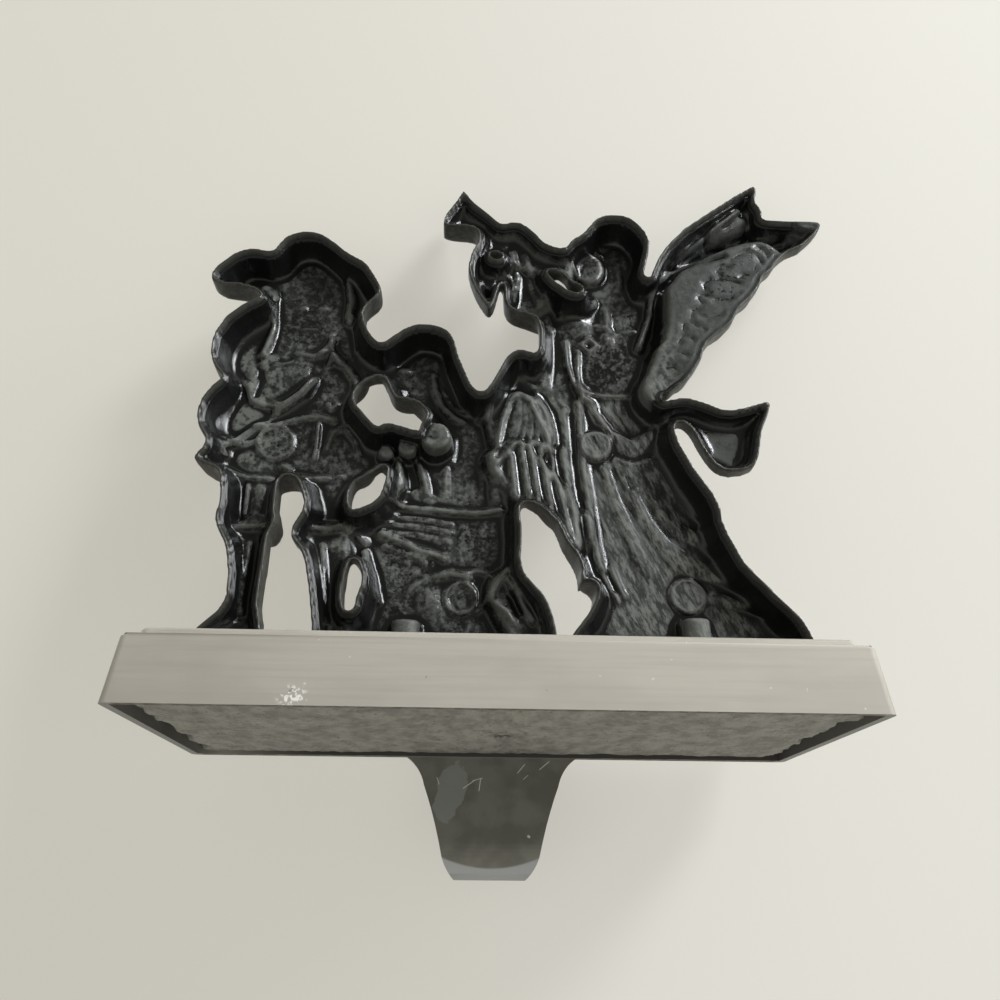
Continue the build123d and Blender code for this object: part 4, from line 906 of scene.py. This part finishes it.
# Two places of the outline are pulled over: x, z, how far in x and z, and reach.
pulls = [(12.8, 136.5, 1.7, -0.6, 4.5), (17.8, 71.8, 1.8, 0.0, 2.6)]
for vert, value in zip(bm.verts, depth_now):
    vert.co.y = RIM_Y - value * MM
    for pull_x, pull_z, by_x, by_z, reach in pulls:
        away = (vert.co.x / MM - pull_x) ** 2 + (vert.co.z / MM - pull_z) ** 2
        pull = math.exp(-away / reach ** 2)
        vert.co.x += by_x * pull * MM
        vert.co.z += by_z * pull * MM
below_rim = layer > SMOOTHED_FROM
near_wall = below_rim & (layer < HOLLOW_LAYER) & (from_wall < WALL_REACH)
inner_verts = [v for v, wanted in zip(bm.verts, below_rim) if wanted]
wall_verts = [v for v, wanted in zip(bm.verts, near_wall) if wanted]
bmesh.ops.smooth_vert(bm, verts=inner_verts, factor=0.4, use_axis_y=True)
for _ in range(2):
    bmesh.ops.smooth_vert(bm, verts=wall_verts, factor=0.5, use_axis_y=True)
bmesh.ops.recalc_face_normals(bm, faces=bm.faces[:])
bm.normal_update()
shade_smooth(bm)

# Where the dust lies thin, as seen from behind, and the black shows: at the three heads this is painted
# shade in the deep hollows. To the right, up, reach, and how thin. It lies thicker where the last number is
# below 0.
dust_and_shade_spots = [
    (-51, 118, 11, 0.5), (-20, 95, 10, 0.5), (-6, 71, 10, 0.65), (29, 127, 10, 0.5), (-56, 88, 7, 0.2),
    (5, 78, 8, 0.2), (-26, 45, 10, -1.3), (-67, 76, 10, -1.2), (-7, 62, 6, 0.3), (-69, 94, 6, -0.9),
    (58, 73, 8, -1.2), (60, 110, 14, 0.15),
]
dust_and_shade_share = np.ones(len(X))
for u, z, reach, share in dust_and_shade_spots:
    dust_and_shade_share -= share * np.exp(-((X + u) ** 2 + (Z - z) ** 2) / reach ** 2)

# How each point lies, for the finish to follow: in the hollow or not, facing the back or not, raised or
# sunk, how far from the wall, and how much dust is on it, with less at the heads as painted shade.
depth_mm = np.array([v.co.y for v in bm.verts]) / MM
facing_back = np.array([v.normal.y for v in bm.verts])
raised = (depth_mm - evened(depth_mm, 14)) * np.where(behind, 1.0, -1.0)
off_wall = from_wall + 3.0 * np.clip(2.0 - limit, 0.0, 1.0)
bm.to_mesh(figure_mesh)
bm.free()
guides = {"inside": behind, "facing_back": facing_back, "raised": raised, "wall_gap": off_wall,
          "dust_and_shade_share": dust_and_shade_share}
for name, values in guides.items():
    layer_data = figure_mesh.attributes.new(name, "FLOAT", "POINT").data
    layer_data.foreach_set("value", values.astype(np.float32))
figures = bpy.data.objects.new("cast_figures", figure_mesh)
scene.collection.objects.link(figures)

# The face and the sides are plainer than the hollow and keep fewer points.
PLAIN_FROM = 1.0
POINTS_KEPT = 0.7
plainer = figures.vertex_groups.new(name="face_and_sides")
plainer.add(np.flatnonzero(~behind & (layer > PLAIN_FROM)).tolist(), 1.0, "REPLACE")
fewer = figures.modifiers.new("fewer_points", "DECIMATE")
fewer.ratio = POINTS_KEPT
fewer.vertex_group = plainer.name
plainer_shape = figures.evaluated_get(bpy.context.evaluated_depsgraph_get())
figures.data = bpy.data.meshes.new_from_object(plainer_shape)
figures.modifiers.clear()
figures.vertex_groups.clear()
bpy.data.meshes.remove(figure_mesh)

ENAMEL = (0.006, 0.0065, 0.006)
DUST = (0.022, 0.024, 0.020)
DUST_LIGHT = (0.106, 0.110, 0.098)
DUST_PALE = (0.122, 0.125, 0.113)
WING_DUST = (0.042, 0.044, 0.038)
RIM_TONE = (0.038, 0.037, 0.032)
SIDE_DARK = (0.030, 0.030, 0.027)
SIDE_LIGHT = (0.062, 0.062, 0.055)
FRONT_DARK = (0.035, 0.033, 0.029)
PEWTER = (0.16, 0.152, 0.135)
GOWN_SLANT = (0.0, 0.42, 0.0)
enamel, tree, shader, place = new_material("black_enamel")
across, _, height = split(tree, place)
inside, back_facing, raised_by, wall_gap, dust_and_shade_here = [
    add_node(tree, "ShaderNodeAttribute", attribute_name=name).outputs["Fac"] for name in guides]
mottle = noise(tree, place, 620.0, 7.0, 0.74)
patches = noise(tree, place, 55.0, 3.0, 0.6)
veins = noise(tree, place, 600.0, 4.0, 0.62)
streaks = noise(tree, place, 760.0, 6.0, 0.74, (1.0, 1.0, 0.3), GOWN_SLANT)

# The dust is streaked and paler on the gown, and even on the raised wing.
on_wing = product(tree, ramp(tree, across, -41.0 * MM, -46.0 * MM), ramp(tree, height, 61.0 * MM, 66.0 * MM))
toward_gown = product(tree, ramp(tree, across, 6.0 * MM, -20.0 * MM),
                      ramp(tree, height, 92.0 * MM, 82.0 * MM), math_node(tree, "SUBTRACT", 1.0, on_wing))
to_streaks = product(tree, toward_gown, math_node(tree, "SUBTRACT", streaks, mottle))
mottle = math_node(tree, "ADD", mottle, to_streaks)
to_streaks = product(tree, toward_gown, math_node(tree, "SUBTRACT", streaks, veins))
veins = math_node(tree, "ADD", veins, to_streaks)
flat = ramp(tree, back_facing, 0.2, 0.7)
off_rim = ramp(tree, wall_gap, 1.9, 3.3)
worn = math_node(tree, "ADD", mottle, product(tree, patches, 0.7))
worn = math_node(tree, "ADD", worn, product(tree, toward_gown, 0.16))
worn = math_node(tree, "ADD", worn, product(tree, on_wing, 0.1))
dust_with_groove_shade = product(tree, flat, off_rim, dust_and_shade_here, ramp(tree, worn, 0.66, 1.02))
# The grooves are kept free of dust, so they stay black: painted shade in the creases.
dust_with_groove_shade = math_node(tree, "MULTIPLY", dust_with_groove_shade, ramp(tree, raised_by, -0.3, -0.04), clamp=True)
light_dust = mix_colours(tree, toward_gown, DUST_LIGHT, DUST_PALE)
light_dust = mix_colours(tree, on_wing, light_dust, WING_DUST)
veins = math_node(tree, "ADD", veins, ramp(tree, dust_and_shade_here, 1.0, 2.0, 0.0, 0.1))
dust = mix_colours(tree, ramp(tree, veins, 0.42, 0.60), DUST, light_dust)
tone = mix_colours(tree, dust_with_groove_shade, ENAMEL, dust)
# Ridges are painted pale in the dust colour: partly wear, partly painted highlight.
ridge_wear_and_highlight = product(tree, ramp(tree, raised_by, 0.12, 0.5, 0.0, 0.5), off_rim)
tone = mix_colours(tree, ridge_wear_and_highlight, tone, light_dust)
rim_mask = product(tree, flat, ramp(tree, wall_gap, 0.7, 1.2, 1.0, 0.0))
tone = mix_colours(tree, rim_mask, tone, RIM_TONE)

# Outside, the sides are dull and dark, and the raised places of the face are rubbed pale.
side_tone = mix_colours(tree, ramp(tree, mottle, 0.4, 0.6), SIDE_DARK, SIDE_LIGHT)
front_tone = mix_colours(tree, ramp(tree, raised_by, -0.25, 0.5), FRONT_DARK, PEWTER)
outside_tone = mix_colours(tree, ramp(tree, back_facing, -0.15, -0.45), side_tone, front_tone)
tone = mix_colours(tree, inside, outside_tone, tone)
tree.links.new(tone, shader.inputs["Base Color"])
outside = math_node(tree, "SUBTRACT", 1.0, inside)
rough = math_node(tree, "ADD", ramp(tree, dust_with_groove_shade, 0.0, 0.7, 0.09, 0.58), product(tree, outside, 0.3))
tree.links.new(rough, shader.inputs["Roughness"])
add_bump(tree, shader, mottle, 0.3, 0.4 * MM)
shine = ramp(tree, wall_gap, 1.2, 2.8, 0.22, 0.48)
shine = math_node(tree, "SUBTRACT", shine, product(tree, dust_with_groove_shade, 0.3), clamp=True)
tree.links.new(shine, shader.inputs["Specular IOR Level"])
figures.data.materials.clear()
figures.data.materials.append(enamel)
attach(figures, "root")
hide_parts("figure_group")


# Screws: two of plain steel, driven up through the platform into the bosses.
# Their heads are sunk in the plinth's roof, out of sight over the weight.
SCREW_COLOUR = (0.45, 0.45, 0.45, 1.0)
screws = nodes["figure_screws"]
screw_steel, tree, shader, place = new_material("screw_steel")
shader.inputs["Base Color"].default_value = SCREW_COLOUR
shader.inputs["Metallic"].default_value = 1.0
shader.inputs["Roughness"].default_value = 0.35
screws.data.materials.clear()
screws.data.materials.append(screw_steel)


# Table under the face of the holder, which lies on its horn and the tip of its hook.
# It is seen from above only, and lets light through to the front.
TABLE_COLOUR = (0.68, 0.66, 0.59, 1.0)
TABLE_GLOW_LEFT = (0.72, 0.69, 0.61)
TABLE_GLOW_RIGHT = (0.86, 0.845, 0.78)
TABLE_HALF = 1.6
TABLE_BELOW = -47.0 * MM
table_normal = Vector((0.0, 0.914, -0.405)).normalized()
table_across = Vector((1.0, 0.0, 0.0))
table_up = table_normal.cross(table_across)
turn = Matrix((table_across, table_up, table_normal)).transposed().to_4x4()
bm = bmesh.new()
bmesh.ops.create_grid(bm, x_segments=1, y_segments=1, size=TABLE_HALF)
bmesh.ops.transform(bm, matrix=turn, verts=bm.verts[:])
bmesh.ops.translate(bm, vec=table_normal * TABLE_BELOW, verts=bm.verts[:])
bm.normal_update()
table = link_piece(bm, "table")


def mix_shaders(tree, factor, first, second):
    """A mix of two shaders by a mask."""
    node = add_node(tree, "ShaderNodeMixShader")
    for socket, value in zip(node.inputs, (factor, first, second)):
        tree.links.new(value, socket)
    return node.outputs[0]


pale, tree, shader, place = new_material("pale_table")
across, _, _ = split(tree, place)
shader.inputs["Base Color"].default_value = TABLE_COLOUR
shader.inputs["Roughness"].default_value = 0.7
rays = add_node(tree, "ShaderNodeLightPath")
facing = add_node(tree, "ShaderNodeNewGeometry")
clear = add_node(tree, "ShaderNodeBsdfTransparent")
glow = add_node(tree, "ShaderNodeEmission", Strength=1.0)
# The table glows for the camera, painted brighter to the right as light from the window.
painted_light_tone = mix_colours(tree, ramp(tree, across, 0.16, -0.16), TABLE_GLOW_LEFT, TABLE_GLOW_RIGHT)
tree.links.new(painted_light_tone, glow.inputs["Color"])
half_seen = product(tree, rays.outputs["Is Camera Ray"], 0.5)
seen = mix_shaders(tree, half_seen, shader.outputs[0], glow.outputs[0])
gone = math_node(tree, "MAXIMUM", facing.outputs["Backfacing"], rays.outputs["Is Shadow Ray"])
surface = mix_shaders(tree, gone, seen, clear.outputs[0])
tree.links.new(surface, tree.nodes["Material Output"].inputs["Surface"])
table.data.materials.append(pale)


# Light: a soft window high on the side of the angel's wing and a second one beside it,
# a wide weak one on the front, and a pale room all round.
WINDOW_COLOUR = (0.94, 0.97, 1.0)
WINDOW_AIM = Vector((0.0, 0.0, 0.07))
ROOM_COLOUR = (0.62, 0.62, 0.60, 1.0)
SEEN_ROOM_COLOUR = (0.70, 0.68, 0.61, 1.0)
DIM_SIDE = (0.0, 0.92, 0.39)


def add_window(name, place, size, power):
    """A square lamp that faces the figures."""
    lamp = bpy.data.lights.new(name, "AREA")
    lamp.shape = "SQUARE"
    lamp.size = size
    lamp.energy = power
    lamp.color = WINDOW_COLOUR
    lamp_object = bpy.data.objects.new(name, lamp)
    lamp_object.location = place
    lamp_object.rotation_mode = "QUATERNION"
    lamp_object.rotation_quaternion = (WINDOW_AIM - Vector(place)).to_track_quat("-Z", "Y")
    scene.collection.objects.link(lamp_object)


add_window("window", (-0.75, 0.75, 0.75), 0.32, 17.0)
add_window("front_window", (0.7, -0.9, 0.7), 0.8, 12.0)
add_window("side_window", (-1.05, 0.34, 0.52), 0.32, 7.0)
world = bpy.data.worlds.new("pale_room")
scene.world = world
world.use_nodes = True
tree = world.node_tree
room = tree.nodes["Background"]
room.inputs["Color"].default_value = ROOM_COLOUR
room.inputs["Strength"].default_value = 1.0
seen = add_node(tree, "ShaderNodeBackground", Color=SEEN_ROOM_COLOUR, Strength=1.0)
dim_side = add_node(tree, "ShaderNodeBackground", Color=SEEN_ROOM_COLOUR)
toward = add_node(tree, "ShaderNodeVectorMath", operation="DOT_PRODUCT")
toward.inputs[1].default_value = DIM_SIDE
tree.links.new(add_node(tree, "ShaderNodeTexCoord").outputs["Generated"], toward.inputs[0])
tree.links.new(ramp(tree, toward.outputs["Value"], 0.3, 0.97, 1.0, 0.2), dim_side.inputs["Strength"])
rays = add_node(tree, "ShaderNodeLightPath")
in_gloss = mix_shaders(tree, rays.outputs["Is Glossy Ray"], room.outputs[0], dim_side.outputs[0])
either = math_node(tree, "MAXIMUM", rays.outputs["Is Camera Ray"], rays.outputs["Is Transmission Ray"])
surface = mix_shaders(tree, either, in_gloss, seen.outputs[0])
tree.links.new(surface, tree.nodes["World Output"].inputs["Surface"])
scene.view_settings.view_transform = "Standard"


# Camera: held over the table, square to it, behind and under the holder.
# Its lens is given by its focal length in pixels of a picture 1000 wide.
TILT, YAW, ROLL = math.radians(22.935), math.radians(-2.175), math.radians(0.465)
CAMERA_PLACE = Vector((8.362, 230.956, -35.366)) * MM
FOCAL_PIXELS = 935.824
PICTURE_PIXELS = 1000.0
SENSOR = 36.0
yaw = Matrix.Rotation(YAW, 3, "Z")
forward = yaw @ Vector((0.0, -math.cos(TILT), math.sin(TILT)))
level = yaw @ Vector((-1.0, 0.0, 0.0))
upright = level.cross(forward)
right = level * math.cos(ROLL) + upright * math.sin(ROLL)
up = upright * math.cos(ROLL) - level * math.sin(ROLL)
camera = bpy.data.objects.new("camera", bpy.data.cameras.new("camera"))
camera.data.sensor_width = SENSOR
camera.data.lens = SENSOR * FOCAL_PIXELS / PICTURE_PIXELS
camera.data.clip_start = 0.01
camera_turn = Matrix((right, up, -forward)).transposed().to_4x4()
camera.matrix_world = Matrix.Translation(CAMERA_PLACE) @ camera_turn
scene.collection.objects.link(camera)
scene.camera = camera
